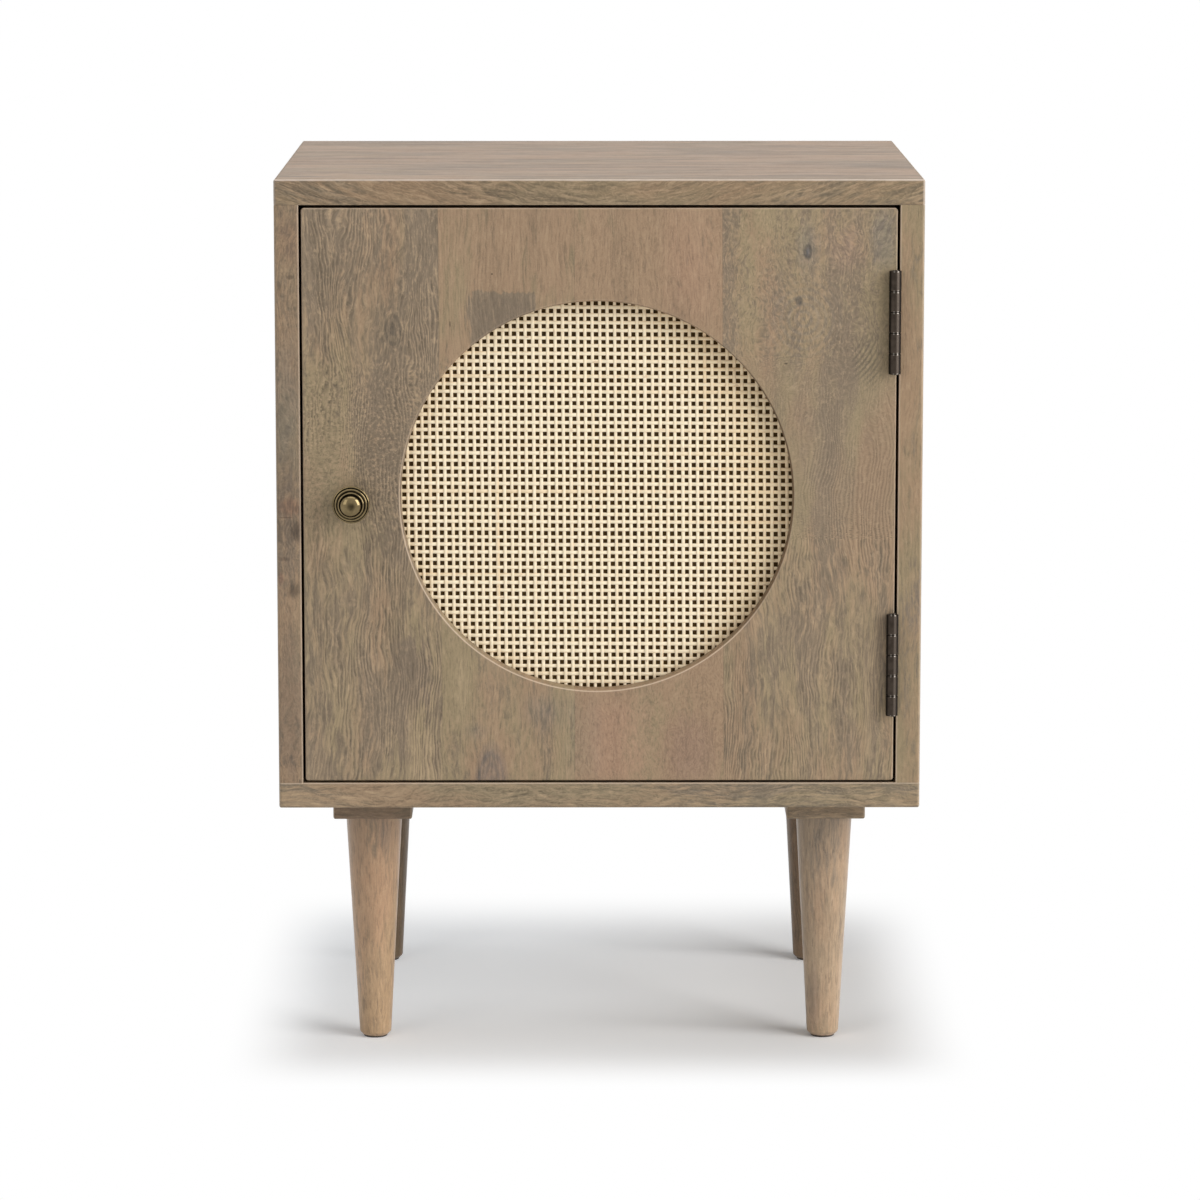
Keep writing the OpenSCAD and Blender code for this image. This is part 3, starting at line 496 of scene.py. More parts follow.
# the door, glued up from four upright staves
doorLook = {
    **cabinetLook, "warm": "9D8267", "wearAndHighlightWidth": 0.0009, "grey": "82725F",
    "seams": (-0.1107, -0.0172, 0.0862),    # where one stave meets the next, in x
    "seamLean": (0.0045, 0.0, 0.006), "leanFrom": 0.4,      # how far aside for one up, from this height
    "staveSeed": (3.1, 6.4, 9.7, 14.2),
    "changeover": (0.37, 0.50),             # height over which the lower figure gives way to the upper
    "lower": {
        "greyShare": (0.34, 0.3, 0.0, 0.3), "oliveShare": (0.6, 0.6, 0.2, 0.5),
        "rings": (0.42, 0.14, 0.06, 0.34), "streaks": (0.58, 0.42, 0.36, 0.54),
        "flecks": (0.2, 0.15, 0.1, 0.2), "fibreTurns": (0.10, 0.2, 0.42, 0.11),
        "speckle": (0.05, 0.06, 0.07, 0.05), "worms": (0.05, 0.05, 0.1, 0.04),
        "swirl": (0.007, 0.006, 0.007, 0.008), "curl": (0.0018, 0.0014, 0.0018, 0.0020),
        "wander": (0.010, 0.008, 0.006, 0.012), "pores": (0.25, 0.2, 0.15, 0.25),
    },
    "upper": {
        "greyShare": (0.62, 0.08, 0.0, 0.5), "oliveShare": (0.5, 0.34, 0.12, 0.6),
        "rings": (0.42, 0.12, 0.08, 0.14), "streaks": (0.6, 0.42, 0.38, 0.28),
        "flecks": (0.3, 0.12, 0.1, 0.3), "fibreTurns": (0.13, 0.12, 0.15, 0.45),
        "speckle": (0.04, 0.09, 0.1, 0.07), "worms": (0.06, 0.05, 0.08, 0.12),
        "swirl": (0.010, 0.005, 0.006, 0.013), "curl": (0.0022, 0.0010, 0.0014, 0.0030),
        "wander": (0.010, 0.005, 0.005, 0.014), "pores": (0.2, 0.2, 0.12, 0.1),
    },
    "seamWidth": 0.00045, "seamShare": 0.3,
    "opening": 0.1365,                      # radius
    "rimWall": ("8C7258", (0.0002, 0.0007), 0.2),       # tone, how far out from the opening, strength
    # painted shade on the opening's wall at the right: tone, how far out, strength, and where it fades in
    # across x
    "rimPaintedShade": ("5E452E", (0.0007, 0.0013), 0.75), "rimPaintedShadeAcross": (0.085, 0.125),
    "rimPaintedHighlight": ("D6BEA4", 0.0012, (0.0002, 0.0006)),    # tone, how far out its middle is, how its sides fade
    "rimHighlightHeight": (-0.05, 0.09, 0.75, 0.1), "rimHighlightAcross": (0.09, 0.125, 1.0, 0.2),      # where it fades
    "greyPatches": [    # x, z, reach in x and z, how grey, edge
        (-0.0662, 0.5190, 0.0245, 0.0280, 1.5, {"square": 0.95, "ragged": 0.35, "soft": 0.3}),
        (-0.0800, 0.5330, 0.0230, 0.0150, 0.6, {"square": 0.4, "ragged": 1.0, "soft": 0.8}),
        (-0.1310, 0.2770, 0.0220, 0.0440, 0.8, {"square": 0.5, "ragged": 1.0, "soft": 0.8, "grain": 120.0}),
        (-0.0757, 0.1960, 0.0125, 0.0330, 0.5, {"ragged": 0.2, "soft": 0.3}),
        (-0.0380, 0.2490, 0.0260, 0.0220, 0.45, {"ragged": 0.5, "soft": 1.0, "grain": 90.0}),
    ],
    "marks": [          # x, z, reach in x and z, tone, strength, edge
        (-0.0652, 0.5180, 0.0235, 0.0275, "8B775E", 0.55, {"square": 0.95, "ragged": 0.35, "soft": 0.35}),
        (-0.1310, 0.2770, 0.0230, 0.0460, "8A765E", 0.5, {"square": 0.5, "ragged": 0.8, "soft": 0.8}),
        (-0.1590, 0.5100, 0.0460, 0.0900, "927D62", 0.6, {"square": 0.8, "ragged": 0.3, "soft": 0.6}),
        (-0.0743, 0.5563, 0.0008, 0.0009, "33291E", 0.9, {"ragged": 0.1}),
        (-0.1035, 0.5216, 0.0010, 0.0030, "5A4C3B", 0.7, {"ragged": 0.3}),
        (-0.0757, 0.1960, 0.0130, 0.0340, "867564", 0.7, {"ragged": 0.15, "soft": 0.25}),
        (-0.0757, 0.1960, 0.0150, 0.0400, "867763", 0.5, {"ragged": 0.15, "lines": 5.0, "soft": 0.4}),
        (-0.0380, 0.2490, 0.0250, 0.0210, "857768", 0.6, {"ragged": 0.5, "soft": 1.0, "grain": 90.0}),
        (-0.0868, 0.2348, 0.0130, 0.0090, "887A68", 0.5, {"ragged": 0.5, "soft": 1.0}),
        (-0.0960, 0.2680, 0.0100, 0.0330, "A78F72", 0.6, {"ragged": 0.4, "soft": 0.9}),
        (-0.1430, 0.5175, 0.0110, 0.0230, "685C4B", 0.6, {"ragged": 0.3, "lines": 4.0, "soft": 0.7}),
        (0.1436, 0.5740, 0.0110, 0.0270, "83776A", 0.55, {"ragged": 0.8, "soft": 0.8}),
        (0.1442, 0.5716, 0.0036, 0.0066, "5C5145", 0.75, {"ragged": 0.25, "soft": 0.35}),
        (0.1442, 0.5716, 0.0019, 0.0040, "B3A491", 0.5, {"ragged": 0.2, "soft": 0.7}),
        (0.1382, 0.5378, 0.0040, 0.0036, "62584B", 0.8, {"ragged": 0.9}),
        (0.1295, 0.4940, 0.0016, 0.0010, "4B3F31", 0.8, {"ragged": 0.3}),
        (0.1415, 0.5250, 0.0400, 0.0420, "8A7D6C", 0.4,
         {"ragged": 0.5, "soft": 0.8, "arcs": (0.1415, 0.525, 0.0052)}),
        (0.1860, 0.4960, 0.0150, 0.0270, "6E614F", 0.7,
         {"ragged": 0.4, "soft": 0.7, "arcs": (0.142, 0.528, 0.0031)}),
        (0.1700, 0.5750, 0.0180, 0.0240, "A88A70", 0.6, {"ragged": 0.8, "soft": 0.8}),
        (0.1960, 0.5800, 0.0110, 0.0280, "84786A", 0.6, {"ragged": 0.5, "soft": 0.6, "square": 0.6}),
        (0.0640, 0.5600, 0.0300, 0.0600, "A5876D", 0.5, {"ragged": 0.6, "soft": 0.9, "square": 0.5}),
        (0.0140, 0.2280, 0.0310, 0.0400, "A5886E", 0.7, {"ragged": 0.5, "soft": 0.6, "square": 0.7}),
        (-0.0100, 0.2290, 0.0170, 0.0420, "94836A", 0.6,
         {"ragged": 1.1, "soft": 0.7, "square": 0.5, "grain": 140.0}),
        (0.0640, 0.2200, 0.0260, 0.0360, "8D7562", 0.5, {"ragged": 0.9, "soft": 0.7, "grain": 420.0}),
        (0.0640, 0.2250, 0.0260, 0.0340, "836C58", 0.35,
         {"ragged": 1.3, "soft": 0.5, "grain": 300.0, "lines": 9.0}),
    ],
}


def stepped(masks, values):
    # the first value, then each next one past its seam
    total = values[0]
    for mask, before, after in zip(masks, values, values[1:]):
        total = mask * (after - before) + total
    return total


caneLow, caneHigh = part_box("cane_panel")      # the cane's sheet lies square round the opening
caneMiddle = tuple((low + high) / 2 for low, high in zip(caneLow, caneHigh))


def doorMaterial():
    look = doorLook
    material, surface, position = newMaterial("mango door staves")
    x, y, z = position.parts()
    masks, seam = [], 0.0
    for place, lean in zip(look["seams"], look["seamLean"]):
        across = (z - look["leanFrom"]) * lean + x - place
        masks.append(operate("GREATER_THAN", across, 0.0))
        seam = largest(rise(abs(across), 0.0, look["seamWidth"], 1.0, 0.0), seam)
    higher = rise(z, *look["changeover"])
    stave = {}
    for name, values in look["lower"].items():
        lower, upper = stepped(masks, values), stepped(masks, look["upper"][name])
        stave[name] = (upper - lower) * higher + lower
    for patch in look["greyPatches"]:
        stave["greyShare"] = largest(stave["greyShare"], spotMask(position, *patch))
    grain = grainOf(position, look, stepped(masks, look["staveSeed"]), stave)
    colour = addMarks(position, grain.colour, look["marks"])

    # the opening: its wall a little darker, with painted shade on it at the right, and a painted highlight
    # round its lower rim
    fromMiddle = position - caneMiddle
    acrossX, y, acrossZ = fromMiddle.parts()
    out = operate("LENGTH", fromMiddle * (1, 0, 1)) - look["opening"]
    tone, (start, end), share = look["rimWall"]
    colour = mixColours(rise(out, start, end, share, 0.0), colour, shade(tone))
    # painted shade on the wall at the right, where the light does not reach
    tone, (start, end), share = look["rimPaintedShade"]
    paintedRimShade = rise(out, start, end, share, 0.0) * rise(acrossX, *look["rimPaintedShadeAcross"])
    colour = mixColours(paintedRimShade, colour, shade(tone))
    # a painted highlight along the lower rim, fading towards the top and the right
    tone, middle, halfWidth = look["rimPaintedHighlight"]
    rimPaintedHighlight = rise(abs(out - middle), *halfWidth, 1.0, 0.0)
    rimPaintedHighlight = rimPaintedHighlight * rise(acrossZ, *look["rimHighlightHeight"]) * rise(acrossX, *look["rimHighlightAcross"])
    colour = mixColours(rimPaintedHighlight, colour, shade(tone))
    colour = mixColours(seam * look["seamShare"], colour, shade(look["dark"]))
    finishWood(surface, position, colour, grain.height, wearAndHighlightOn(position, "door_panel", look), look)
    return material


dress("door_panel", doorMaterial())
print("door dressed")


# turned legs
legLook = {
    **cabinetLook, "warm": "BA9472", "olive": "AE906E", "grey": "998268", "dark": "6E5A45", "pale": "CCAD8A",
    "greyShare": 0.24, "streaks": 0.4, "rings": 0.12, "pores": 0.42, "swirl": 0.005, "wander": 0.008,
    "worms": 0.04, "fibreTurns": 0.12, "rough": 0.34, "shine": 0.6,
    # the paler foot tone is painted light, the darker crown tone painted shade from the cupboard above
    "foot": "D4A881", "footPaintedLightShare": 0.48, "footPaintedLightRise": (0.03, 0.13),
    "crownPaintedShade": "91785D", "crownPaintedShadeShare": 0.36, "crownPaintedShadeRise": (0.125, 0.166),
}
# the rear legs are a darker copy of the leg wood: painted shade under the cupboard
rearLegsPaintedShade = {
    "warm": "8A7159", "olive": "806C55", "grey": "71624F", "foot": "947B62", "footPaintedLightShare": 0.2,
    "dark": "5C4C3B", "pale": "A68F74", "crownPaintedShade": "6C5A48", "shine": 0.3,
}
# the front right leg is a greyer, less saturated copy of the leg wood: painted sheen from the lamp at the
# right
rightLegPaintedSheen = {
    "warm": "B19273", "olive": "A78F72", "grey": "96836E", "dark": "6A5947", "pale": "C5AB8E",
    "foot": "C6A585", "crownPaintedShade": "8B765F",
}
legs = {                # seed, what differs from the usual leg, marks: x, z, reach in x and z, tone, strength
    "front_left": (31.0, {}, [
        (-0.1700, 0.1420, 0.0110, 0.0330, "83745C", 0.35, {"ragged": 0.7, "soft": 0.9}),
        (-0.1530, 0.1500, 0.0070, 0.0190, "80715F", 0.6, {"ragged": 0.8, "soft": 0.8}),
        (-0.1660, 0.0850, 0.0080, 0.0260, "8F7B61", 0.5, {"ragged": 0.8, "soft": 0.8}),
        (-0.1690, 0.0250, 0.0018, 0.0080, "75654F", 0.7, {"ragged": 0.5, "soft": 0.7})]),
    "front_right": (33.3, rightLegPaintedSheen, [
        (0.1540, 0.0300, 0.0060, 0.0330, "7F6D59", 0.6, {"ragged": 0.7, "soft": 0.8}),
        (0.1640, 0.0900, 0.0060, 0.0300, "8B7A60", 0.5, {"ragged": 0.8, "soft": 0.8}),
        (0.1530, 0.1400, 0.0090, 0.0240, "85765F", 0.5, {"ragged": 0.8, "soft": 0.8})]),
    "rear_left": (35.6, rearLegsPaintedShade, []),
    "rear_right": (37.9, rearLegsPaintedShade, []),
}


def legMaterial(name, seed, changes, marks):
    # paler towards the foot as painted light, darker where the leg meets its block as painted shade from the
    # cupboard above
    look = {**legLook, **changes}
    material, surface, position = newMaterial(name)
    grain = grainOf(position, look, seed, {})
    height = position.parts()[2]
    footPaintedLightMask = rise(height, *look["footPaintedLightRise"], look["footPaintedLightShare"], 0.0)
    crownPaintedShade = rise(height, *look["crownPaintedShadeRise"], 0.0, look["crownPaintedShadeShare"])
    colour = grain.colour
    for share, tone in ((footPaintedLightMask, look["foot"]), (crownPaintedShade, look["crownPaintedShade"])):
        colour = mixColours(share, colour, tint(tone, look["warm"]), "MULTIPLY")
    finishWood(surface, position, addMarks(position, colour, marks), grain.height, 0.0, look)
    return material


for corner, settings in legs.items():
    dress(corner + "_leg", legMaterial("mango leg " + corner, *settings))
print("legs dressed")


# woven cane: flat strands that go over and under each other, sandwiched behind the door
cane = {
    "hole": (-0.0013, 0.4001),                     # middle of one hole
    "pitch": (0.00519, 0.00538), "lean": (-0.0084, -0.0049),
    "width": (0.00236, 0.00248), "thick": 0.0005, "lift": 0.00029,
    "stepsPerHole": 4, "sharp": 75, "unevenWidth": 0.07, "unevenPlace": 0.00009, "swaying": 55,
    "skin": "FFF0D2", "tan": "F0D6AE", "fibre": "F4DEB6", "fibreShare": 0.55, "spot": "B4855A",
    "spotShare": 0.5, "side": "C9A06A", "sideShare": 0.4, "rough": 0.45, "relief": 0.00006,
    # painted shade from the opening's rim: browner far from one point, so mostly at the right
    "aged": (0.97, 0.91, 0.82, 1.0), "canePaintedShadeFrom": (-0.02, 0, 0.385), "canePaintedShadeRise": (0.125, 0.175),
    # how quickly each changes along a strand for one across it, scale, detail, roughness
    "strands": (0.02, 210, 1.0), "fibres": (0.05, 2600, 2.0, 0.6), "joints": (0.5, 230, 3.0, 0.65),
    "section": [(-0.5, 0), (-0.37, 0.5), (0.37, 0.5), (0.5, 0), (0.37, -0.5), (-0.37, -0.5)],
}


def caneMaterial(name, upright):
    material, surface, position = newMaterial(name)

    def figure(each):
        along, *rest = cane[each]
        return noise(position * ((1, 1, along) if upright else (along, 1, 1)), *rest)

    strands, fibres, joints = figure("strands"), figure("fibres"), figure("joints")
    colour = mixColours(rise(strands, 0.5, 0.8), shade(cane["skin"]), shade(cane["tan"]))
    colour = mixColours(rise(fibres, 0.45, 0.75) * cane["fibreShare"], colour, shade(cane["fibre"]))
    colour = mixColours(rise(joints, 0.62, 0.78) * cane["spotShare"], colour, shade(cane["spot"]))
    facing = Value(newNode(position.tree, "NewGeometry").outputs["True Normal"]).parts()
    sides = rise(abs(facing[1]), 0.75, 0.97, cane["sideShare"], 0.0)
    colour = mixColours(sides, colour, shade(cane["side"]))
    # painted shade from the opening's rim, growing away from one point
    away = operate("LENGTH", (position - cane["canePaintedShadeFrom"]) * (1.25, 0, 1))
    colour = mixColours(rise(away, *cane["canePaintedShadeRise"]), colour, cane["aged"], "MULTIPLY")
    rough = rise(joints, 0.3, 0.7, cane["rough"] - 0.07, cane["rough"] + 0.1)
    finishSurface(surface, colour, rough, fibres, cane["relief"])
    return material


def makeCane(name, upright, material):
    # one sheet of strands that all run the same way
    here, other = (0, 1) if upright else (1, 0)
    pitch, width = cane["pitch"][here], cane["width"][here]
    crossing, hole = cane["pitch"][other], cane["hole"][other]
    limits = (caneLow[0], caneHigh[0]), (caneLow[2], caneHigh[2])
    low, high = limits[here]
    start, end = limits[other]
    chance = random.Random(7 + here)
    points, faces = [], []
    count = len(cane["section"])
    first = math.floor((low - cane["hole"][here]) / pitch) - 1
    for number in range(first, first + int((high - low) / pitch) + 4):
        middle = cane["hole"][here] + (number + 0.5) * pitch + chance.uniform(-1, 1) * cane["unevenPlace"]
        wide = width * (1 + chance.uniform(-1, 1) * cane["unevenWidth"])
        sway, phase = chance.uniform(0.2, 1) * cane["unevenPlace"], chance.uniform(0, 6.3)
        if middle - 0.7 * width < low or middle + 0.7 * width > high:
            continue
        stops = [start, end]
        step = crossing / cane["stepsPerHole"]
        at = hole + math.floor((start - hole) / crossing) * crossing
        while at < end - 0.3 * step:
            if at > start + 0.3 * step:
                stops.insert(-1, at)
            at += step
        base = len(points)
        for stop in stops:
            turn = math.pi * ((stop - hole) / crossing - 0.5)
            over = math.sin(0.5 * math.pi * math.cos(turn)) * (-1) ** number * (1 if upright else -1)
            depth = caneMiddle[1] + cane["lift"] * over
            centre = (middle + cane["lean"][here] * (stop - hole)
                      + sway * math.sin(stop * cane["swaying"] + phase))
            centre = min(max(centre, low + 0.52 * wide), high - 0.52 * wide)
            for across, through in cane["section"]:
                side, y = centre + across * wide, depth + through * cane["thick"]
                points.append((side, y, stop) if upright else (stop, y, side))
        for ring in range(base, len(points) - count, count):
            for corner in range(count):
                a, b = ring + corner, ring + (corner + 1) % count
                faces.append((a, a + count, b + count, b) if upright else (a, b, b + count, a + count))
        ends = range(base, base + count), range(len(points) - count, len(points))
        faces += [tuple(ends[0]), tuple(ends[1])[::-1]] if upright else [tuple(ends[0])[::-1], tuple(ends[1])]
    piece = addPiece(name, points, faces, material, cane["sharp"])
    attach(piece, "door")
    return piece


upStrands = makeCane("cane_upright_strands", True, caneMaterial("cane upright", True))
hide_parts("cane_panel")
acrossStrands = makeCane("cane_cross_strands", False, caneMaterial("cane across", False))
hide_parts("cane_panel")
print("cane woven,", len(upStrands.data.polygons) + len(acrossStrands.data.polygons), "faces")


# dulled metals and smooth fixings

def metalMaterial(name, look, grooves=None, recolour=None):
    # grooves says where the metal is dullest, recolour what else shows in its colour
    material, surface, position = newMaterial(name)
    metal = useGroup(patina, position=position, clean=shade(look["clean"]), dulled=shade(look["dulled"]),
                     grooves=grooves(position) if grooves else 0.0,
                     **{each: look[each] for each in ("dulling", "blotch", "smooth", "matt")})
    colour = recolour(position, metal.colour) if recolour else metal.colour
    surface["Metallic"].default_value = look["metallic"]
    finishSurface(surface, colour, metal.roughness, metal.height, look["relief"])
    return material


# brass knob, turned in one piece
knob = {
    "segments": 128, "sharp": 60,
    # radius and height above the door's face in millimetres, from the door out to the first bead
    "stem": [(0.0, 0.0), (7.35, 0.0), (7.5, 0.15), (7.5, 1.4), (7.3, 1.85), (6.8, 2.05), (5.6, 2.3),
             (4.95, 2.9), (4.75, 4.0), (4.75, 6.7), (5.1, 7.9), (6.4, 9.0), (8.8, 10.0), (11.0, 10.7)],
    # radius and height of each bead's middle, its own radius, and the degrees between which it shows
    "beads": ((12.3, 11.5, 0.7, -90, 105), (10.6, 13.1, 0.9, -30, 135), (8.45, 15.1, 0.85, -35, 140)),
    "grooves": ((11.7, 12.1), (9.55, 13.9), (7.4, 16.1)),       # the bottom of the groove after each bead
    "dome": (7.2, 16.6), "bulge": 3.1, "top": 22.0,             # where the dome starts, how it ends
    "clean": "827253", "dulled": "17130C", "smooth": 0.1, "matt": 0.3, "dulling": 0.35, "blotch": 160.0,
    "metallic": 1.0, "relief": 0.00001,
    # the dome's darker middle is a painted dark reflection
    # how near, how far, and how dull at each
    "dullGroove": (0.0002, 0.0006, 1.0, 0.0), "middlePaintedReflection": (0.0005, 0.0042, 0.7, 0.0),
    "dullBehind": (0.009, 0.0108, 0.75, 0.0),
}
knobLow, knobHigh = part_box("door_knob")
knobPlace = (knobLow[0] + knobHigh[0]) / 2, knobHigh[1], (knobLow[2] + knobHigh[2]) / 2


def arc(centre, height, radius, first, last, steps=12):
    angles = [math.radians(first + (last - first) * i / steps) for i in range(steps + 1)]
    return [(centre + radius * math.cos(a), height + radius * math.sin(a)) for a in angles]


def knobProfile():
    outline = list(knob["stem"])
    for bead, groove in zip(knob["beads"], knob["grooves"]):
        outline += arc(*bead) + [groove]
    outline.append(knob["dome"])
    radius, bulge, top = knob["dome"][0], knob["bulge"], knob["top"]
    for along, up in arc(0, 0, 1, 0, 90, 20)[:-1]:
        outline.append((radius * along, top - bulge + bulge * up))
    return outline + [(0.0, top)]


def turn(outline, place, segments):
    # spins an outline round the line that leaves the door at place
    points, faces, rings = [], [], []
    for radius, height in outline:
        count = segments if radius else 1
        rings.append(range(len(points), len(points) + count))
        for i in range(count):
            angle = 2 * math.pi * i / segments
            points.append((place[0] + radius / 1000 * math.cos(angle), place[1] - height / 1000,
                           place[2] + radius / 1000 * math.sin(angle)))
    for below, above in zip(rings, rings[1:]):
        for i in range(segments):
            j = (i + 1) % segments
            if len(below) == 1:
                faces.append((below[0], above[i], above[j]))
            elif len(above) == 1:
                faces.append((below[i], above[0], below[j]))
            else:
                faces.append((below[i], above[i], above[j], below[j]))
    return points, faces


def knobGrooves(position):
    # tarnish in each groove and behind the beads; in the dome's middle a painted dark reflection
    place = position - knobPlace
    out, height = operate("LENGTH", place * (1, 0, 1)), place.parts()[1] * -1.0
    grooves = [rise(abs(out - radius / 1000), *knob["dullGroove"]) for radius, floor in knob["grooves"]]
    return largest(*grooves, rise(out, *knob["middlePaintedReflection"]), rise(height, *knob["dullBehind"]))


brass = metalMaterial("antique brass", knob, knobGrooves)
knobMesh = turn(knobProfile(), knobPlace, knob["segments"])
knobPiece = addPiece("turned_brass_knob", *knobMesh, brass, knob["sharp"])
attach(knobPiece, "door")
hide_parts("door_knob")
print("knob turned")


# hinges and fixings
metals = {
    "bronzed_steel": {"clean": "413830", "dulled": "261F19", "dulling": 0.6, "blotch": 220.0,
                      "smooth": 0.3, "matt": 0.5, "metallic": 0.85, "relief": 0.00002},
    "zinc_fixings": {"clean": "BDBEBC", "dulled": "84847F", "dulling": 0.5, "blotch": 320.0,
                     "smooth": 0.28, "matt": 0.5, "metallic": 1.0, "relief": 0.00001},
    "black_magnet": {"clean": "4A4A4C", "dulled": "2A2A2B", "dulling": 0.6, "blotch": 300.0,
                     "smooth": 0.4, "matt": 0.6, "metallic": 0.4, "relief": 0.00002},
    "brown_plastic": {"clean": "5A4433", "dulled": "4A3829", "dulling": 0.4, "blotch": 260.0,
                      "smooth": 0.42, "matt": 0.55, "metallic": 0.0, "relief": 0.00003},
    "dark_glide": {"clean": "4A4038", "dulled": "37302A", "dulling": 0.5, "blotch": 260.0,
                   "smooth": 0.5, "matt": 0.7, "metallic": 0.0, "relief": 0.00003},
}
hingeLook = {
    "axis": (0.2046, 0, 0), "knuckle": 0.0144,
    "starts": (0.2466, 0.4870), "between": 0.4,     # each hinge's lower end, and a height between them
    # black is painted shade on the knuckles' sides and the dark of the gaps; the stripe is a painted sheen
    # and the dots painted glints
    "black": "120F0C", "paintedSheen": "766B62", "dot": "C9C0B6",
    "sides": (0.0025, 0.0035, 0.0, 0.97),
    "stripe": 0.0017, "stripeReach": (0.0003, 0.0013, 0.32, 0.0),
    "gaps": (0.012, 0.03, 0.9, 0.0), "rims": (0.05, 0.075, 1.0, 0.0),       # in knuckles
    "dots": ((0.0017, 0.55), (-0.0010, 0.25)), "dotReach": (0.0002, 0.0007),    # place across and strength
}


def hingeColour(position, colour):
    # painted shade blackens the knuckles down their sides, a painted sheen runs along the front and painted
    # glints sit at the rims of each joint; the gaps between knuckles are dark
    x, y, z = (position - hingeLook["axis"]).parts()
    lower, upper = hingeLook["starts"]
    start = operate("GREATER_THAN", z, hingeLook["between"]) * (upper - lower) + lower
    along = (z - start) / hingeLook["knuckle"]
    joint = abs(along - operate("ROUND", along))
    colour = mixColours(rise(abs(x), *hingeLook["sides"]), colour, shade(hingeLook["black"]))
    stripe = rise(abs(x - hingeLook["stripe"]), *hingeLook["stripeReach"])
    colour = mixColours(stripe, colour, shade(hingeLook["paintedSheen"]))
    colour = mixColours(rise(joint, *hingeLook["gaps"]), colour, shade(hingeLook["black"]))
    rims = rise(joint, *hingeLook["rims"])
    for place, strength in hingeLook["dots"]:
        dots = rims * rise(abs(x - place), *hingeLook["dotReach"], strength, 0.0)
        colour = mixColours(dots, colour, shade(hingeLook["dot"]))
    return colour


for slot, look in metals.items():
    recolour = hingeColour if slot == "bronzed_steel" else None
    material = metalMaterial(slot.replace("_", " "), look, None, recolour)
    for part in frame["record"]["subparts"]:
        if part["material_slot"] == slot:
            dress(part["node"], material)
print("hinges and fixings dressed")


# camera and light

cameraPlace = {"lens": 156.57, "at": (-0.0127, -3.780, 0.8984), "down": 9.001, "aside": 0.209}


def makeCamera():
    data = bpy.data.cameras.new("camera")
    data.lens = cameraPlace["lens"]
    data.sensor_width = 36
    camera = bpy.data.objects.new("camera", data)
    bpy.context.collection.objects.link(camera)
    camera.location = cameraPlace["at"]
    down, aside = math.radians(cameraPlace["down"]), math.radians(cameraPlace["aside"])
    ahead = Vector((math.sin(aside) * math.cos(down), math.cos(aside) * math.cos(down), -math.sin(down)))
    camera.rotation_euler = ahead.to_track_quat("-Z", "Y").to_euler()
    bpy.context.scene.camera = camera


studio = {
    "softboxes": {          # place, size and power of each
        "left softbox": ((-1.9, -2.4, 1.5), (1.3, 1.8), 9),
        "right softbox": ((3.4, -2.2, 2.0), (3.0, 3.2), 156),
        "overhead": ((0.0, -0.4, 3.2), (2.6, 2.6), 24.5),
    },
    "aim": (0, 0, 0.35), "world": 0.27,
    "floor": "F4F4F4", "floorRough": 0.9, "floorRadius": 9.0, "floorCorners": 64,
    # the lift falls towards the front and the right as painted shadow
    # from where to where, and how strong at each
    "paintedShadowLiftDepth": (-0.16, 0.03, 0.12, 0.38), "paintedShadowLiftAcross": (-0.09, 0.2, 1.0, 0.25),
    "liftTint": (0.91, 0.955, 1.0, 1),
    "shadowSides": (0.19, 0.27), "shadowFront": (-0.27, -0.16), "shadowBack": (0.2, 0.38),
}


def seenDirectly(tree):
    # 1 for what the camera sees, also in a mirror or through glass
    light = newNode(tree, "LightPath").outputs
    return largest(*(Value(light[ray]) for ray in ("Is Camera Ray", "Is Glossy Ray", "Is Transmission Ray")))


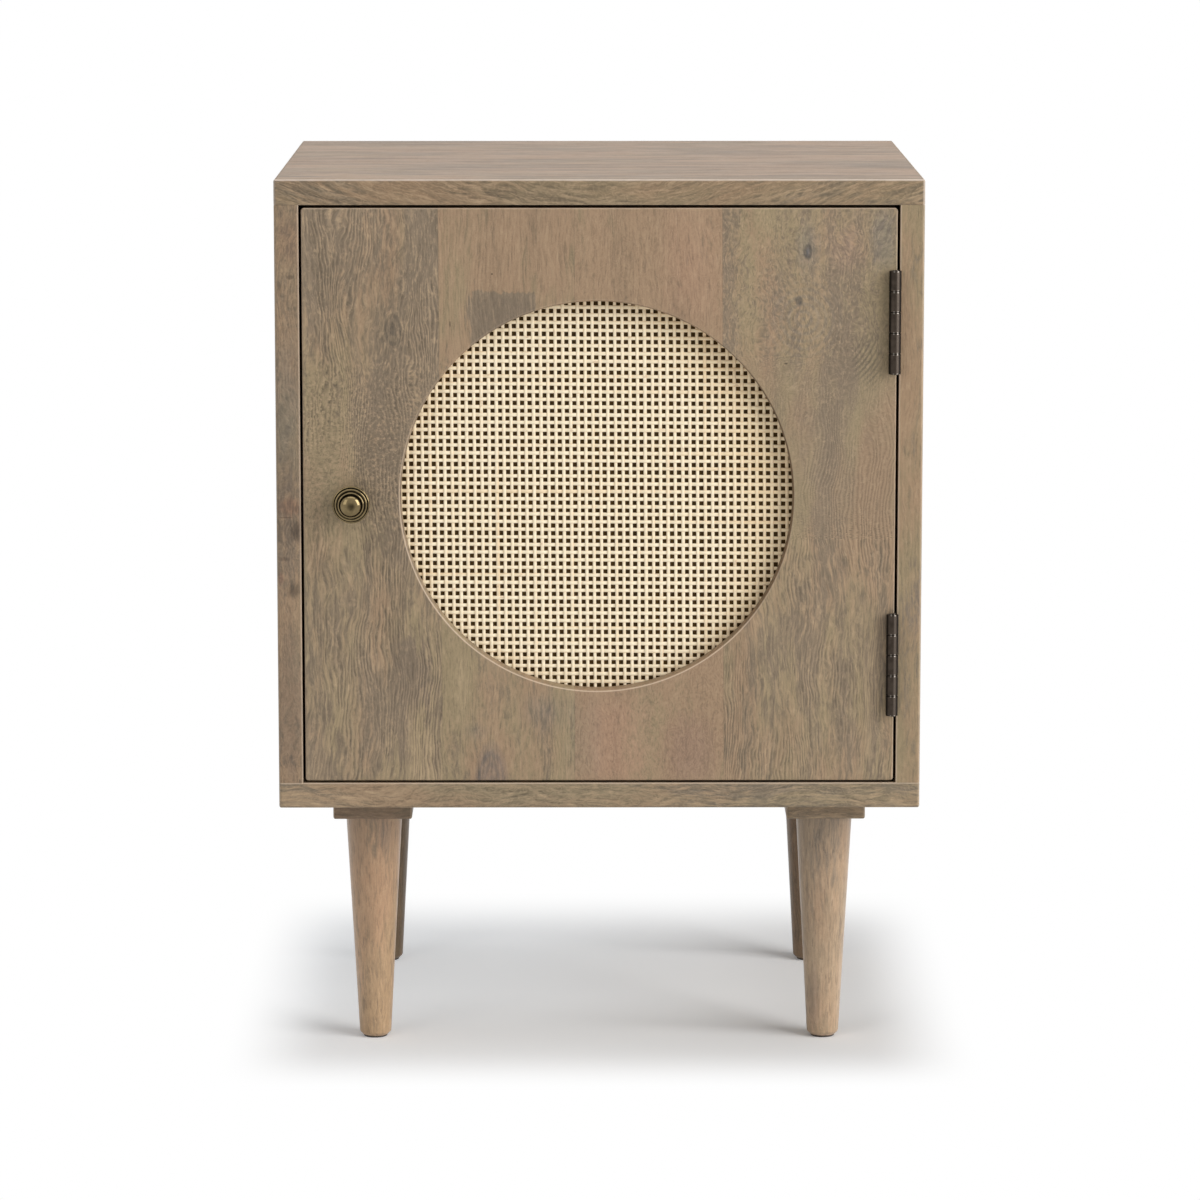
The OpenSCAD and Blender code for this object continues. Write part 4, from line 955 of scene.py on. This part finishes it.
def makeStudio():
    for name, (place, size, power) in studio["softboxes"].items():
        data = bpy.data.lights.new(name, "AREA")
        data.shape = "RECTANGLE"
        data.size, data.size_y = size
        data.energy = power
        lamp = bpy.data.objects.new(name, data)
        lamp.location = place
        lamp.rotation_euler = (Vector(studio["aim"]) - Vector(place)).to_track_quat("-Z", "Y").to_euler()
        bpy.context.collection.objects.link(lamp)
    world = bpy.data.worlds.new("studio")
    bpy.context.scene.world = world
    world.use_nodes = True
    tree = world.node_tree
    background = tree.nodes["Background"].inputs
    background["Color"].default_value = (1, 1, 1, 1)
    feed(background["Strength"], rise(seenDirectly(tree), 0.0, 1.0, studio["world"], 1.0))


def makeFloor():
    mesh = bpy.data.meshes.new("studio floor")
    corners = range(studio["floorCorners"])
    ring = [(studio["floorRadius"] * math.cos(2 * math.pi * i / len(corners)),
             studio["floorRadius"] * math.sin(2 * math.pi * i / len(corners)), 0.0) for i in corners]
    mesh.from_pydata(ring, [], [list(corners)])
    floor = bpy.data.objects.new("studio floor", mesh)
    bpy.context.collection.objects.link(floor)
    material, surface, position = newMaterial("white studio floor")
    surface["Base Color"].default_value = shade(studio["floor"])
    surface["Roughness"].default_value = studio["floorRough"]
    surface["Specular IOR Level"].default_value = 0.0
    # seen straight on, the floor is lifted to white and keeps the cupboard's own shadow; the lift is weaker
    # towards the front and the right, a painted shadow there
    surface["Emission Color"].default_value = studio["liftTint"]
    tree = material.node_tree
    seen = seenDirectly(tree)
    x, y, z = position.parts()
    feed(surface["Emission Strength"], rise(y, *studio["paintedShadowLiftDepth"]) * rise(x, *studio["paintedShadowLiftAcross"]) * seen)
    shaded = rise(abs(x), *studio["shadowSides"], 1.0, 0.0) * rise(y, *studio["shadowFront"])
    shaded = shaded * rise(y, *studio["shadowBack"], 1.0, 0.0)
    mix = newNode(tree, "MixShader")
    feed(mix.inputs[0], (1.0 - shaded) * seen)
    feed(mix.inputs[1], Value(tree.nodes["Principled BSDF"].outputs[0]))
    feed(mix.inputs[2], Value(newNode(tree, "Emission").outputs[0]))
    feed(tree.nodes["Material Output"].inputs[0], Value(mix.outputs[0]))
    mesh.materials.append(material)


makeCamera()
makeStudio()
makeFloor()
bpy.context.scene.view_settings.view_transform = "Standard"

print("scene ready")
